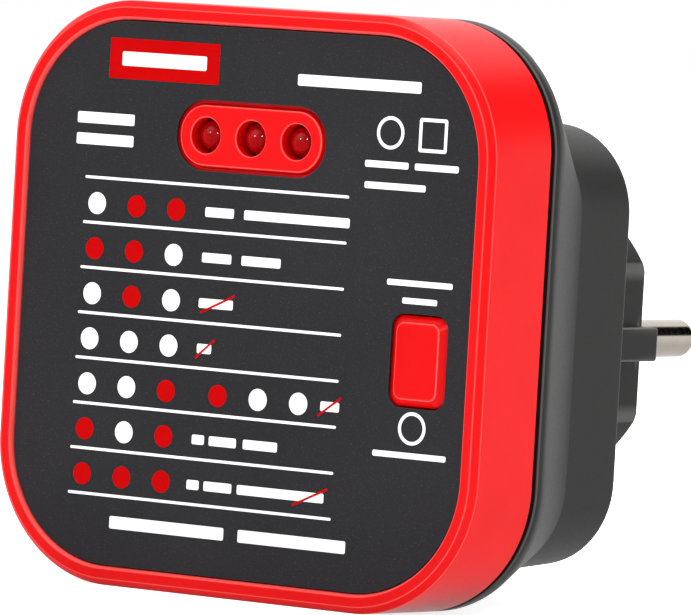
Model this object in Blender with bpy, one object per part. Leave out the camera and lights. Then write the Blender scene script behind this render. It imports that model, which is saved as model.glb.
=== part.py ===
"""Plug-in outlet tester: a square red front with three lamps and a test button, on a two-pin plug housing.

Metres, +Z up. The origin is the centre of the plug's end face. The pins point along +Y into the socket,
and the front faces -Y. Everything along Y is negative in front of the plug's end face.
"""

import math

import bmesh
import bpy
from mathutils import Matrix, Vector

# ---- Front ----
FACE_HALF = 0.0351  # half the side of the square front
FACE_CORNER = 0.0170  # corner radius of the front edge
SKIRT_CORNER = 0.0158  # corner radius where the cover meets the housing
FACE_RISE = 0.0038  # the front's centre sits this far above the plug's axis
FRONT_TO_PLUG_FACE = 0.0629  # from the overlay's surface to the plug's end face
RIM_PROUD = 0.0005  # how far the rim stands over the overlay
RIM_WIDTH = 0.0023  # the rim, seen from the front
RIM_CHAMFER = 0.0005  # slope from the rim down to the overlay
RIM_ROUND = 0.0009  # round of the front cover's outer edge
COVER_SKIRT = 0.0120  # depth of the red cover behind the rim's top
COVER_WALL = 0.0017
FLOOR_THICK = 0.0016
OVERLAY_THICK = 0.0004
OVERLAY_EDGE_GAP = 0.00015  # between the overlay's edge and the rim

# ---- Fits ----
GAP = 0.0003  # between pieces that rest on each other
SLIDE_GAP = 0.0002  # around the button

# ---- Lamp window ----
WINDOW_HALF_X = 0.0109
WINDOW_HALF_Z = 0.0042
WINDOW_RISE = 0.0196  # above the front's centre
WINDOW_EDGE = 0.0006  # slope around the window's raised top
WINDOW_END_FLAT = 0.0001  # flat left between the round ends' corners
LAMP_PITCH = 0.0066
LAMP_HOLE_RADIUS = 0.00215
LED_RADIUS = 0.0015
LED_RECESS = 0.0009  # from the window's top back to the lamp's dome
LED_LENGTH = 0.0053
LED_LEG = 0.0005
LED_LEG_PITCH = 0.00254
LED_TIP_RADIUS = 0.00002  # smallest ring of the dome

# ---- Test button ----
BUTTON_X = 0.0258
BUTTON_DROP = 0.0049  # below the front's centre
BUTTON_HALF_X = 0.0038
BUTTON_HALF_Z = 0.0053
BUTTON_CORNER = 0.0015
BUTTON_PROUD = 0.0005
BUTTON_ROUND = 0.0005
BUTTON_TRAVEL = 0.0010
FLANGE_BORDER = 0.0011
FLANGE_THICK = 0.0008

# ---- Test switch ----
SWITCH_HALF = 0.0030
SWITCH_WALL = 0.0005
SWITCH_CORNER = 0.0004
SWITCH_LID = 0.0008
PLUNGER_RADIUS = 0.0017
PLUNGER_FLANGE_WIDTH = 0.0005
PLUNGER_FLANGE_THICK = 0.0006
DOME_THICK = 0.00015
DOME_RISE = 0.0007

# ---- Main board ----
BOARD_THICK = 0.0016
BOARD_MARGIN = 0.0022  # from the cover's inner wall to the board's edge
SWITCH_DEPTH = 0.0034
POST_WALL = 0.0016
POST_STEP = 0.0012  # ledge that the board rests on
BOARD_SCREW_RADIUS = 0.0010
BOARD_SCREW_HEAD = 0.0021
BOARD_SCREW_LENGTH = 0.0050
SMALL_HEAD_THICK = 0.0014  # heads of the board and plug screws
BOARD_SCREW_WALL = 0.0011
BOARD_SCREW_PLACES = [(-0.0262, 0.0040), (0.0262, 0.0150)]  # x, and z above the front's centre

# ---- Rear housing ----
SEAM = 0.0011  # dark groove between the red cover and the housing
BAND_DEPTH = 0.0018  # straight band behind the groove
TAPER_DEPTH = 0.0160
BOX_FRONT_HALF = 0.0274
BOX_FRONT_CORNER = 0.0112
BOX_REAR_HALF = 0.02655
BOX_REAR_CORNER = 0.0108
BOX_ROUND = 0.0008
PLUG_LENGTH = 0.0209  # the plug body, from the box's rear face to the plug's end face
HOUSING_WALL = 0.0018
TONGUE_DEPTH = 0.0034  # lip that enters the red cover
TONGUE_WALL = 0.0012

# ---- Case screws ----
CASE_SCREW_INSET = 0.00695  # from the rear box's sides to the screws' axes
WELL_WALL = 0.0010
WELL_HEAD_GAP = 0.0005  # around the screw's head
WELL_DEPTH = 0.0150
WELL_FLOOR = 0.0020
CASE_SCREW_RADIUS = 0.00145
CASE_SCREW_HEAD = 0.0027
CASE_SCREW_HEAD_THICK = 0.0020
CASE_SCREW_LENGTH = 0.0110
CASE_SCREW_GAP = 0.00035

# ---- Plug body (two-pin earthed plug, 16 A) ----
PLUG_RADIUS = 0.0185
PLUG_FLAT_DEPTH = 0.0025  # cut off the round body at its left and right
PLUG_EDGE = 0.0003
PLUG_FACE_WALL = 0.0030
PLUG_SIDE_WALL = 0.0022
PLUG_CHANNEL_WALL = 0.0020  # under the earth channels
CAVITY_CORNER = 0.0060
PLUG_FLANGE_WIDTH = 0.0015
PLUG_FLANGE_THICK = 0.0020
PLUG_POST_HEIGHT = 0.0045
PLUG_POST_WALL = 0.0008
PLUG_POST_OUT = 0.0036  # from the plug's round side to the screw posts' axes
EAR_RADIUS = 0.0025
PLUG_SCREW_RADIUS = 0.0010
PLUG_SCREW_HEAD = 0.0021
PLUG_SCREW_LENGTH = 0.0055
RIB_HEIGHT = 0.0042
RIB_PROUD = 0.0030
RIB_SHORT = 0.0007  # the ribs end this far before the plug's end face
RIB_ROUND = 0.0006

# ---- Pins and earth contacts ----
PIN_PITCH = 0.0190
PIN_RADIUS = 0.0024
PIN_REACH = 0.0190  # beyond the plug's end face
PIN_TIP_ROUND = 0.0010
PIN_COLLAR_WIDTH = 0.0008
PIN_COLLAR_THICK = 0.0016
PIN_TAIL_RADIUS = 0.0015
PIN_TAIL_END = 0.0160  # behind the plug's end face
CARRIER_THICK = 0.0030
CARRIER_INSET = 0.0003
EARTH_CHANNEL_HALF = 0.0032
EARTH_CHANNEL_DEPTH = 0.0033
EARTH_CHANNEL_LENGTH = 0.0172
EARTH_CLIP_HALF = 0.0022
EARTH_CLIP_THICK = 0.0006
EARTH_CLIP_BOW = 0.0008
EARTH_CLIP_SHORT = 0.0012
EARTH_CLIP_INNER = 0.0068
SLEEVE_RISE = 0.0098
SLEEVE_BORE = 0.0025
SLEEVE_WALL = 0.0005
SLEEVE_LENGTH = 0.0080

# ---- Parts on the board ----
LOAD_RESISTOR_RADIUS = 0.0025
LOAD_RESISTOR_LENGTH = 0.0120
LOAD_RESISTOR_PITCH = 0.0062
LOAD_RESISTOR_PLACE = (0.0, -0.0215)
SMALL_RESISTOR_RADIUS = 0.0012
SMALL_RESISTOR_LENGTH = 0.0063
DIODE_RADIUS = 0.0013
DIODE_LENGTH = 0.0052
SMALL_PART_PITCH = 0.0042
RESISTOR_PLACE = (-0.0085, 0.0265)  # x and z of the first one, above the front's centre
DIODE_PLACE = (0.0065, 0.0265)
LEAD_RADIUS = 0.0003
LEAD_OVERHANG = 0.0022
CAPACITOR_RADIUS = 0.0032
CAPACITOR_LENGTH = 0.0110
CAPACITOR_PLACE = (0.0215, 0.0040)
PART_STANDOFF = 0.0006
WIRE_RADIUS = 0.0008
WIRE_PULL = 0.0090  # how strongly a wire keeps its direction at its ends
WIRE_BOARD_X = 0.0130
WIRE_BOARD_Z = 0.0020
EARTH_WIRE_BOARD_Z = 0.0080

# ---- Steps of round shapes ----
CORNER_STEPS = 8
ROUND_STEPS = 24
SMALL_STEPS = 12
FILLET_STEPS = 3

# ---- Levels along Y, front to back ----
OVERLAY_Y = -FRONT_TO_PLUG_FACE
RIM_Y = OVERLAY_Y - RIM_PROUD
FLOOR_Y = OVERLAY_Y + OVERLAY_THICK + GAP
INSIDE_Y = FLOOR_Y + FLOOR_THICK
COVER_REAR_Y = RIM_Y + COVER_SKIRT
BAND_Y = COVER_REAR_Y + SEAM
TAPER_Y = BAND_Y + BAND_DEPTH
BOX_Y = TAPER_Y + TAPER_DEPTH
BOX_REAR_Y = -PLUG_LENGTH
BUTTON_Y = OVERLAY_Y - BUTTON_PROUD
FLANGE_Y = INSIDE_Y + GAP
FLANGE_REAR_Y = FLANGE_Y + FLANGE_THICK
PLUNGER_Y = FLANGE_REAR_Y + GAP
SWITCH_Y = FLANGE_REAR_Y + BUTTON_TRAVEL + GAP
SWITCH_REAR_Y = SWITCH_Y + SWITCH_DEPTH
BOARD_Y = SWITCH_REAR_Y + GAP
BOARD_REAR_Y = BOARD_Y + BOARD_THICK
LED_Y = OVERLAY_Y + LED_RECESS
PART_Y = BOARD_REAR_Y + PART_STANDOFF
WELL_Y = BOX_REAR_Y - WELL_DEPTH
WALL_INNER_Y = BOX_REAR_Y - HOUSING_WALL
EAR_REAR_Y = WALL_INNER_Y - PLUG_POST_HEIGHT - GAP
EAR_Y = EAR_REAR_Y - PLUG_FLANGE_THICK

# ---- Radii and places that follow from the sizes above ----
PLUG_FLAT = PLUG_RADIUS - PLUG_FLAT_DEPTH
PLUG_FLANGE_RADIUS = PLUG_RADIUS + PLUG_FLANGE_WIDTH
PLUG_POST_OFFSET = PLUG_RADIUS + PLUG_POST_OUT
PLUG_POST_RADIUS = PLUG_SCREW_RADIUS + GAP + PLUG_POST_WALL
EARTH_CHANNEL_FLOOR = PLUG_RADIUS - EARTH_CHANNEL_DEPTH
CAVITY_HALF_X = PLUG_FLAT - PLUG_SIDE_WALL
CAVITY_HALF_Z = EARTH_CHANNEL_FLOOR - PLUG_CHANNEL_WALL
PIN_COLLAR_RADIUS = PIN_RADIUS + PIN_COLLAR_WIDTH
PLUNGER_FLANGE_RADIUS = PLUNGER_RADIUS + PLUNGER_FLANGE_WIDTH
CASE_HOLE_RADIUS = CASE_SCREW_RADIUS + CASE_SCREW_GAP
POST_RADIUS = CASE_HOLE_RADIUS + POST_WALL
POST_FOOT_RADIUS = POST_RADIUS + POST_STEP
WELL_HOLE_RADIUS = CASE_SCREW_HEAD + WELL_HEAD_GAP
WELL_RADIUS = WELL_HOLE_RADIUS + WELL_WALL
BOARD_SCREW_POST = BOARD_SCREW_RADIUS + GAP + BOARD_SCREW_WALL
CASE_SCREW_OFFSET = BOX_REAR_HALF - CASE_SCREW_INSET
BUTTON_Z = FACE_RISE - BUTTON_DROP
WINDOW_Z = FACE_RISE + WINDOW_RISE
CASE_SCREW_PLACES = [
    (x * CASE_SCREW_OFFSET, z * CASE_SCREW_OFFSET) for z in (1, -1) for x in (-1, 1)
]


# ---- Scene and materials ----


def clear_scene():
    for obj in list(bpy.data.objects):
        bpy.data.objects.remove(obj)


def make_material(name, color, roughness, metallic=0.0):
    material = bpy.data.materials.new(name)
    material.use_nodes = True
    shader = material.node_tree.nodes["Principled BSDF"]
    shader.inputs["Base Color"].default_value = (*color, 1.0)
    shader.inputs["Roughness"].default_value = roughness
    shader.inputs["Metallic"].default_value = metallic
    return material


# ---- Outlines in the XZ plane ----


def arc(x, z, radius, start, end, steps):
    """Points of an arc from one angle to the other, both ends included."""
    angles = [start + (end - start) * i / steps for i in range(steps + 1)]
    return [(x + radius * math.cos(a), z + radius * math.sin(a)) for a in angles]


def rounded_box(half_x, half_z, corner, x=0.0, z=0.0, steps=CORNER_STEPS):
    points = []
    quarter = math.pi / 2
    for turn, (side_x, side_z) in enumerate([(1, 1), (-1, 1), (-1, -1), (1, -1)]):
        corner_x = x + side_x * (half_x - corner)
        corner_z = z + side_z * (half_z - corner)
        points += arc(corner_x, corner_z, corner, turn * quarter, (turn + 1) * quarter, steps)
    return points


def circle(radius, x=0.0, z=0.0, steps=ROUND_STEPS):
    return arc(x, z, radius, 0, 2 * math.pi, steps)[:-1]


def flatted_circle(radius, flat, steps=CORNER_STEPS):
    """A circle with a flat on its left and right."""
    angle = math.acos(flat / radius)
    top = arc(0, 0, radius, angle, math.pi - angle, 2 * steps)
    bottom = arc(0, 0, radius, math.pi + angle, 2 * math.pi - angle, 2 * steps)
    return top + bottom


# ---- Solids ----


def add_object(name, mesh_builder, material=None, rotation=None):
    """A new object from a bmesh. Without a material it is a cutter or a helper, left out of renders."""
    bmesh.ops.recalc_face_normals(mesh_builder, faces=mesh_builder.faces)
    mesh = bpy.data.meshes.new(name)
    mesh_builder.to_mesh(mesh)
    mesh_builder.free()
    obj = bpy.data.objects.new(name, mesh)
    bpy.context.scene.collection.objects.link(obj)
    if material:
        mesh.materials.append(material)
        mesh.shade_smooth()
        mesh.set_sharp_from_angle(angle=math.radians(30))
    else:
        obj.hide_render = True
        obj.display_type = "WIRE"
    return obj


def loft(name, rings, material=None, origin=(0.0, 0.0, 0.0)):
    """A closed solid through outlines of equal length, each a (y, outline) pair."""
    builder = bmesh.new()
    layers = []
    for y, outline in rings:
        layers.append(
            [builder.verts.new((x - origin[0], y - origin[1], z - origin[2])) for x, z in outline]
        )
    count = len(layers[0])
    for front, back in zip(layers, layers[1:]):
        for i in range(count):
            j = (i + 1) % count
            builder.faces.new((front[i], front[j], back[j], back[i]))
    builder.faces.new(layers[0])
    builder.faces.new(layers[-1])
    obj = add_object(name, builder, material)
    obj.location = origin
    return obj


def turned(name, profile, x, z, material=None, steps=ROUND_STEPS, origin=(0.0, 0.0, 0.0)):
    """A solid of revolution about a line along Y. The profile is a list of (y, radius)."""
    return loft(name, [(y, circle(r, x, z, steps)) for y, r in profile], material, origin)


def extruded(name, outline, direction, half_width, middle=0.0, material=None):
    """A closed solid from a flat outline in YZ for axis "X", or XY for "Z", half_width to both its sides."""
    builder = bmesh.new()
    layers = []
    for level in (middle - half_width, middle + half_width):
        places = [(level, a, b) if direction == "X" else (a, b, level) for a, b in outline]
        layers.append([builder.verts.new(place) for place in places])
    low, high = layers
    for i in range(len(outline)):
        j = (i + 1) % len(outline)
        builder.faces.new((low[i], low[j], high[j], high[i]))
    builder.faces.new(low)
    builder.faces.new(high)
    return add_object(name, builder, material)


def block(name, low, high, material=None, edge=0.0):
    builder = bmesh.new()
    size = Vector(high) - Vector(low)
    middle = (Vector(high) + Vector(low)) / 2
    bmesh.ops.create_cube(builder, size=1.0, matrix=Matrix.Translation(middle) @ Matrix.Diagonal((*size, 1)))
    if edge:
        bmesh.ops.bevel(
            builder, geom=builder.edges, offset=edge, segments=2, profile=0.5, affect="EDGES"
        )
    return add_object(name, builder, material)


def combine(obj, other, operation):
    modifier = obj.modifiers.new(operation.lower() + "_" + other.name, "BOOLEAN")
    modifier.operation = operation
    modifier.object = other


def cut(obj, *cutters):
    for cutter in cutters:
        combine(obj, cutter, "DIFFERENCE")


def join(obj, *additions):
    for addition in additions:
        combine(obj, addition, "UNION")


def rounded_start(y, radius, outline_at, steps=FILLET_STEPS):
    """Rings of a rounded front edge. outline_at gives the outline for an inset."""
    rings = []
    for i in range(steps + 1):
        angle = math.pi / 2 * i / steps
        rings.append((y + radius * (1 - math.sin(angle)), outline_at(radius * (1 - math.cos(angle)))))
    return rings[::-1]


def rounded_end(y, radius, outline_at, steps=FILLET_STEPS):
    """Rings of a rounded rear edge."""
    mirrored = rounded_start(-y, radius, outline_at, steps)
    return [(-level, outline) for level, outline in mirrored[::-1]]


# ---- Front cover ----


def face_outline(inset):
    return rounded_box(FACE_HALF - inset, FACE_HALF - inset, FACE_CORNER - inset, 0, FACE_RISE)


def skirt_outline(inset):
    return rounded_box(FACE_HALF - inset, FACE_HALF - inset, SKIRT_CORNER - inset, 0, FACE_RISE)


def lamp_places():
    return [((i - 1) * LAMP_PITCH, WINDOW_Z) for i in range(3)]


def make_front_cover(material):
    rings = rounded_start(RIM_Y, RIM_ROUND, face_outline) + [(COVER_REAR_Y, skirt_outline(0))]
    cover = loft("front_shell", rings, material)
    pocket = [
        (RIM_Y - GAP, face_outline(RIM_WIDTH - RIM_CHAMFER)),
        (RIM_Y, face_outline(RIM_WIDTH - RIM_CHAMFER)),
        (OVERLAY_Y, face_outline(RIM_WIDTH)),
        (FLOOR_Y, face_outline(RIM_WIDTH)),
    ]
    hollow = [(y, skirt_outline(COVER_WALL)) for y in (INSIDE_Y, COVER_REAR_Y + GAP)]
    cut(cover, loft("cut_overlay_pocket", pocket), loft("cut_cover_hollow", hollow))
    middle_y = (FLOOR_Y + INSIDE_Y) / 2
    window = [
        (OVERLAY_Y, window_outline(WINDOW_EDGE)),
        (OVERLAY_Y + WINDOW_EDGE, window_outline(GAP)),
        (middle_y, window_outline(GAP)),
    ]
    join(cover, loft("add_lamp_window", window))
    for number, (x, z) in enumerate(CASE_SCREW_PLACES):
        post = [
            (middle_y, POST_FOOT_RADIUS),
            (BOARD_Y - GAP, POST_FOOT_RADIUS),
            (BOARD_Y - GAP / 2, POST_RADIUS),
            (WELL_Y - WELL_FLOOR - GAP, POST_RADIUS),
        ]
        pilot_y = WELL_Y - CASE_SCREW_LENGTH - GAP
        pilot = [(pilot_y, CASE_HOLE_RADIUS), (WELL_Y, CASE_HOLE_RADIUS)]
        join(cover, turned(f"add_case_post_{number}", post, x, z))
        cut(cover, turned(f"cut_case_pilot_{number}", pilot, x, z, steps=SMALL_STEPS))
    for number, (x, rise) in enumerate(BOARD_SCREW_PLACES):
        z = FACE_RISE + rise
        post = [(middle_y, BOARD_SCREW_POST), (BOARD_Y - GAP, BOARD_SCREW_POST)]
        pilot = [
            (BOARD_REAR_Y - BOARD_SCREW_LENGTH - GAP, BOARD_SCREW_RADIUS + GAP),
            (BOARD_Y, BOARD_SCREW_RADIUS + GAP),
        ]
        join(cover, turned(f"add_board_post_{number}", post, x, z, steps=SMALL_STEPS))
        cut(cover, turned(f"cut_board_pilot_{number}", pilot, x, z, steps=SMALL_STEPS))
    for number, (x, z) in enumerate(lamp_places()):
        hole = [(OVERLAY_Y - GAP, LAMP_HOLE_RADIUS), (INSIDE_Y + GAP, LAMP_HOLE_RADIUS)]
        cut(cover, turned(f"cut_lamp_hole_{number}", hole, x, z))
    cut(cover, loft("cut_button_hole", button_hole_rings(FLOOR_Y - GAP, INSIDE_Y + GAP)))


def window_outline(inset):
    half_x = WINDOW_HALF_X - inset
    half_z = WINDOW_HALF_Z - inset
    return rounded_box(half_x, half_z, half_z - WINDOW_END_FLAT, 0, WINDOW_Z)


def button_outline(grow):
    return rounded_box(
        BUTTON_HALF_X + grow, BUTTON_HALF_Z + grow, BUTTON_CORNER + grow, BUTTON_X, BUTTON_Z
    )


def button_hole_rings(front_y, rear_y):
    return [(front_y, button_outline(SLIDE_GAP)), (rear_y, button_outline(SLIDE_GAP))]


def make_overlay(material):
    edge = RIM_WIDTH + OVERLAY_EDGE_GAP
    rear_y = OVERLAY_Y + OVERLAY_THICK
    overlay = loft(
        "front_label", [(OVERLAY_Y, face_outline(edge)), (rear_y, face_outline(edge))], material
    )
    window = [(OVERLAY_Y - GAP, window_outline(0)), (rear_y + GAP, window_outline(0))]
    cut(overlay, loft("cut_label_window", window))
    cut(overlay, loft("cut_label_button", button_hole_rings(OVERLAY_Y - GAP, rear_y + GAP)))


def make_lamps(material):
    for side, (x, z) in zip(("left", "centre", "right"), lamp_places()):
        base_y = LED_Y + LED_LENGTH
        dome = [
            (LED_Y + LED_RADIUS * (1 - math.cos(a)), max(LED_RADIUS * math.sin(a), LED_TIP_RADIUS))
            for a in [math.pi / 2 * i / 6 for i in range(7)]
        ]
        body = dome + [(base_y, LED_RADIUS)]
        lamp = turned(f"indicator_led_{side}", body, x, z, material, steps=24)
        for number, offset in enumerate((-LED_LEG_PITCH / 2 + LED_LEG / 2, LED_LEG_PITCH / 2 - LED_LEG / 2)):
            low = (x + offset - LED_LEG / 2, base_y - GAP, z - LED_LEG / 2)
            high = (x + offset + LED_LEG / 2, BOARD_Y - GAP, z + LED_LEG / 2)
            join(lamp, block(f"add_led_leg_{side}_{number}", low, high))


# ---- Button and switch ----


def make_button(material):
    origin = (BUTTON_X, BUTTON_Y, BUTTON_Z)
    rings = rounded_start(BUTTON_Y, BUTTON_ROUND, lambda inset: button_outline(-inset))
    rings.append((FLANGE_Y, button_outline(0)))
    rings.append((FLANGE_Y + GAP / 2, button_outline(FLANGE_BORDER)))
    rings.append((FLANGE_REAR_Y, button_outline(FLANGE_BORDER)))
    loft("test_button", rings, material, origin)


def make_switch(body_material, plunger_material, dome_material):
    origin = (BUTTON_X, SWITCH_Y, BUTTON_Z)
    outline = rounded_box(SWITCH_HALF, SWITCH_HALF, SWITCH_CORNER, BUTTON_X, BUTTON_Z, 2)
    body = loft("test_switch_body", [(SWITCH_Y, outline), (SWITCH_REAR_Y, outline)], body_material)
    lid_y = SWITCH_Y + SWITCH_LID
    cavity_radius = PLUNGER_FLANGE_RADIUS + GAP
    hole_radius = PLUNGER_RADIUS + GAP
    cavity = [
        (SWITCH_Y - GAP, hole_radius),
        (lid_y, hole_radius),
        (lid_y + GAP / 2, cavity_radius),
        (SWITCH_REAR_Y - SWITCH_WALL, cavity_radius),
    ]
    cut(body, turned("cut_switch_cavity", cavity, BUTTON_X, BUTTON_Z, steps=24))
    flange_y = lid_y + GAP
    plunger = [
        (PLUNGER_Y, PLUNGER_RADIUS),
        (flange_y, PLUNGER_RADIUS),
        (flange_y + GAP / 2, PLUNGER_FLANGE_RADIUS),
        (flange_y + PLUNGER_FLANGE_THICK, PLUNGER_FLANGE_RADIUS),
    ]
    turned("test_switch_plunger", plunger, BUTTON_X, BUTTON_Z, plunger_material, 24, origin)
    rest_y = SWITCH_REAR_Y - SWITCH_WALL - GAP / 2
    rim = PLUNGER_FLANGE_RADIUS - GAP / 2
    crown = rim / 3
    dome = [
        (rest_y - DOME_RISE, crown),
        (rest_y - DOME_RISE / 2, 2 * crown),
        (rest_y - DOME_THICK, rim),
        (rest_y, rim),
    ]
    snap = turned("test_switch_dome", dome, BUTTON_X, BUTTON_Z, dome_material, SMALL_STEPS)
    under = [
        (rest_y - DOME_RISE + DOME_THICK, crown - DOME_THICK),
        (rest_y - DOME_RISE / 2 + DOME_THICK, 2 * crown - DOME_THICK),
        (rest_y + DOME_THICK, rim - DOME_THICK),
    ]
    cut(snap, turned("cut_dome_underside", under, BUTTON_X, BUTTON_Z, steps=SMALL_STEPS))


# ---- Board and the parts on it ----


def make_board(material, screw_material):
    inset = COVER_WALL + BOARD_MARGIN
    rings = [(BOARD_Y, skirt_outline(inset)), (BOARD_REAR_Y, skirt_outline(inset))]
    board = loft("main_board", rings, material)
    through = (BOARD_Y - GAP, BOARD_REAR_Y + GAP)
    for number, (x, z) in enumerate(CASE_SCREW_PLACES):
        hole = [(y, POST_RADIUS + GAP) for y in through]
        cut(board, turned(f"cut_board_post_{number}", hole, x, z))
    for number, (x, rise) in enumerate(BOARD_SCREW_PLACES):
        z = FACE_RISE + rise
        hole = [(y, BOARD_SCREW_RADIUS + GAP) for y in through]
        cut(board, turned(f"cut_board_screw_{number}", hole, x, z, steps=SMALL_STEPS))
        make_screw(
            f"board_screw_{number + 1}",
            x,
            z,
            BOARD_REAR_Y + GAP,
            (BOARD_SCREW_RADIUS, BOARD_SCREW_HEAD, BOARD_SCREW_LENGTH, SMALL_HEAD_THICK),
            screw_material,
        )


def make_screw(name, x, z, seat_y, sizes, material):
    """A pan-head screw that points forward, with its head behind seat_y and a cross recess in the head."""
    radius, head_radius, length, head_thick = sizes
    round_depth = head_thick * 0.35
    profile = [
        (seat_y - length, radius * 0.35),
        (seat_y - length + radius, radius),
        (seat_y, radius),
        (seat_y + GAP / 10, head_radius),
        (seat_y + head_thick - round_depth, head_radius),
        (seat_y + head_thick - round_depth / 3, head_radius * 0.88),
        (seat_y + head_thick, head_radius * 0.62),
    ]
    screw = turned(name, profile, x, z, material, SMALL_STEPS)
    slot_half = head_radius * 0.14
    reach = head_radius * 0.55
    low_y = seat_y + head_thick * 0.45
    high_y = seat_y + head_thick + GAP
    for slot, half_x, half_z in (("x", reach, slot_half), ("z", slot_half, reach)):
        low = (x - half_x, low_y, z - half_z)
        high = (x + half_x, high_y, z + half_z)
        cut(screw, block(f"cut_slot_{slot}_{name}", low, high))


def make_axial_part(name, x, z, radius, length, material):
    """A cylindrical part lying along X on the board, with a bent lead at each end."""
    centre_y = PART_Y + radius
    builder = bmesh.new()
    bmesh.ops.create_cone(
        builder,
        cap_ends=True,
        segments=SMALL_STEPS,
        radius1=radius,
        radius2=radius,
        depth=length,
        matrix=Matrix.Translation((x, centre_y, z)) @ Matrix.Rotation(math.pi / 2, 4, "Y"),
    )
    part = add_object(name, builder, material)
    foot_y = BOARD_REAR_Y + GAP
    for side in (-1, 1):
        inner_x = x + side * (length / 2 - GAP)
        bend_x = x + side * (length / 2 + LEAD_OVERHANG - 2 * LEAD_RADIUS)
        outer_x = bend_x + side * 2 * LEAD_RADIUS
        outline = [
            (inner_x, centre_y + LEAD_RADIUS),
            (outer_x, centre_y + LEAD_RADIUS),
            (outer_x, foot_y),
            (bend_x, foot_y),
            (bend_x, centre_y - LEAD_RADIUS),
            (inner_x, centre_y - LEAD_RADIUS),
        ]
        join(part, extruded(f"add_lead_{name}_{side}", outline, "Z", LEAD_RADIUS, z))


def make_board_parts(materials):
    for number in range(3):
        x, z = LOAD_RESISTOR_PLACE
        z += FACE_RISE + number * LOAD_RESISTOR_PITCH
        sizes = (LOAD_RESISTOR_RADIUS, LOAD_RESISTOR_LENGTH)
        make_axial_part(f"leakage_resistor_{number + 1}", x, z, *sizes, materials["load_resistor"])
        x, z = RESISTOR_PLACE
        z += FACE_RISE - number * SMALL_PART_PITCH
        sizes = (SMALL_RESISTOR_RADIUS, SMALL_RESISTOR_LENGTH)
        make_axial_part(f"series_resistor_{number + 1}", x, z, *sizes, materials["resistor"])
        x, z = DIODE_PLACE
        z += FACE_RISE - number * SMALL_PART_PITCH
        sizes = (DIODE_RADIUS, DIODE_LENGTH)
        make_axial_part(f"rectifier_diode_{number + 1}", x, z, *sizes, materials["diode"])
    x, z = CAPACITOR_PLACE
    profile = [
        (BOARD_REAR_Y + GAP, CAPACITOR_RADIUS),
        (BOARD_REAR_Y + GAP + CAPACITOR_LENGTH - GAP, CAPACITOR_RADIUS),
        (BOARD_REAR_Y + GAP + CAPACITOR_LENGTH, CAPACITOR_RADIUS - GAP),
    ]
    turned("filter_capacitor", profile, x, z, materials["capacitor"], 24)


# ---- Rear housing ----


def housing_outline(half, corner, rise):
    return rounded_box(half, half, corner, 0, rise)


def box_rear_outline(inset):
    return housing_outline(BOX_REAR_HALF - inset, BOX_REAR_CORNER - inset, 0)


def make_rear_housing(material):
    tongue_y = BAND_Y - TONGUE_DEPTH
    band = skirt_outline(0)
    rings = [(BAND_Y, band), (TAPER_Y, band)]
    rings.append((BOX_Y, housing_outline(BOX_FRONT_HALF, BOX_FRONT_CORNER, 0)))
    rings += rounded_end(BOX_REAR_Y, BOX_ROUND, box_rear_outline)
    housing = loft("rear_housing", rings, material)
    tongue_inset = COVER_WALL + GAP
    tongue = [(tongue_y, skirt_outline(tongue_inset)), (BAND_Y + GAP, skirt_outline(tongue_inset))]
    join(housing, loft("add_tongue", tongue))
    inner_inset = tongue_inset + TONGUE_WALL
    hollow = [
        (tongue_y - GAP, skirt_outline(inner_inset)),
        (TAPER_Y, skirt_outline(inner_inset)),
        (
            BOX_Y,
            housing_outline(BOX_FRONT_HALF - HOUSING_WALL, BOX_FRONT_CORNER - HOUSING_WALL, 0),
        ),
        (WALL_INNER_Y, box_rear_outline(HOUSING_WALL)),
    ]
    cut(housing, loft("cut_housing_hollow", hollow))
    for number, (x, z) in enumerate(CASE_SCREW_PLACES):
        tube = [(WELL_Y - WELL_FLOOR, WELL_RADIUS), (BOX_REAR_Y - HOUSING_WALL / 2, WELL_RADIUS)]
        join(housing, turned(f"add_well_{number}", tube, x, z))
        well = [(WELL_Y, WELL_HOLE_RADIUS), (BOX_REAR_Y + GAP, WELL_HOLE_RADIUS)]
        hole = [(WELL_Y - WELL_FLOOR - GAP, CASE_HOLE_RADIUS), (WELL_Y + GAP, CASE_HOLE_RADIUS)]
        cut(housing, turned(f"cut_well_{number}", well, x, z))
        cut(housing, turned(f"cut_well_hole_{number}", hole, x, z, steps=SMALL_STEPS))
    for side, z in (("top", PLUG_POST_OFFSET), ("bottom", -PLUG_POST_OFFSET)):
        post = [(EAR_REAR_Y + GAP, PLUG_POST_RADIUS), (BOX_REAR_Y - HOUSING_WALL / 2, PLUG_POST_RADIUS)]
        pilot = [
            (EAR_REAR_Y, PLUG_SCREW_RADIUS + GAP),
            (EAR_Y + PLUG_SCREW_LENGTH + GAP, PLUG_SCREW_RADIUS + GAP),
        ]
        join(housing, turned(f"add_plug_post_{side}", post, 0, z, steps=24))
        cut(housing, turned(f"cut_plug_pilot_{side}", pilot, 0, z, steps=SMALL_STEPS))
    opening = flatted_circle(PLUG_RADIUS + GAP, PLUG_FLAT + GAP)
    rings = [(WALL_INNER_Y - GAP, opening), (BOX_REAR_Y + GAP, opening)]
    cut(housing, loft("cut_plug_opening", rings))


def make_case_screws(material):
    sizes = (CASE_SCREW_RADIUS, CASE_SCREW_HEAD, CASE_SCREW_LENGTH, CASE_SCREW_HEAD_THICK)
    for number, (x, z) in enumerate(CASE_SCREW_PLACES):
        make_screw(f"case_screw_{number + 1}", x, z, WELL_Y + GAP, sizes, material)


# ---- Plug body, pins and earth contacts ----


def plug_outline(inset):
    return flatted_circle(PLUG_RADIUS - inset, PLUG_FLAT - inset)


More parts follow.
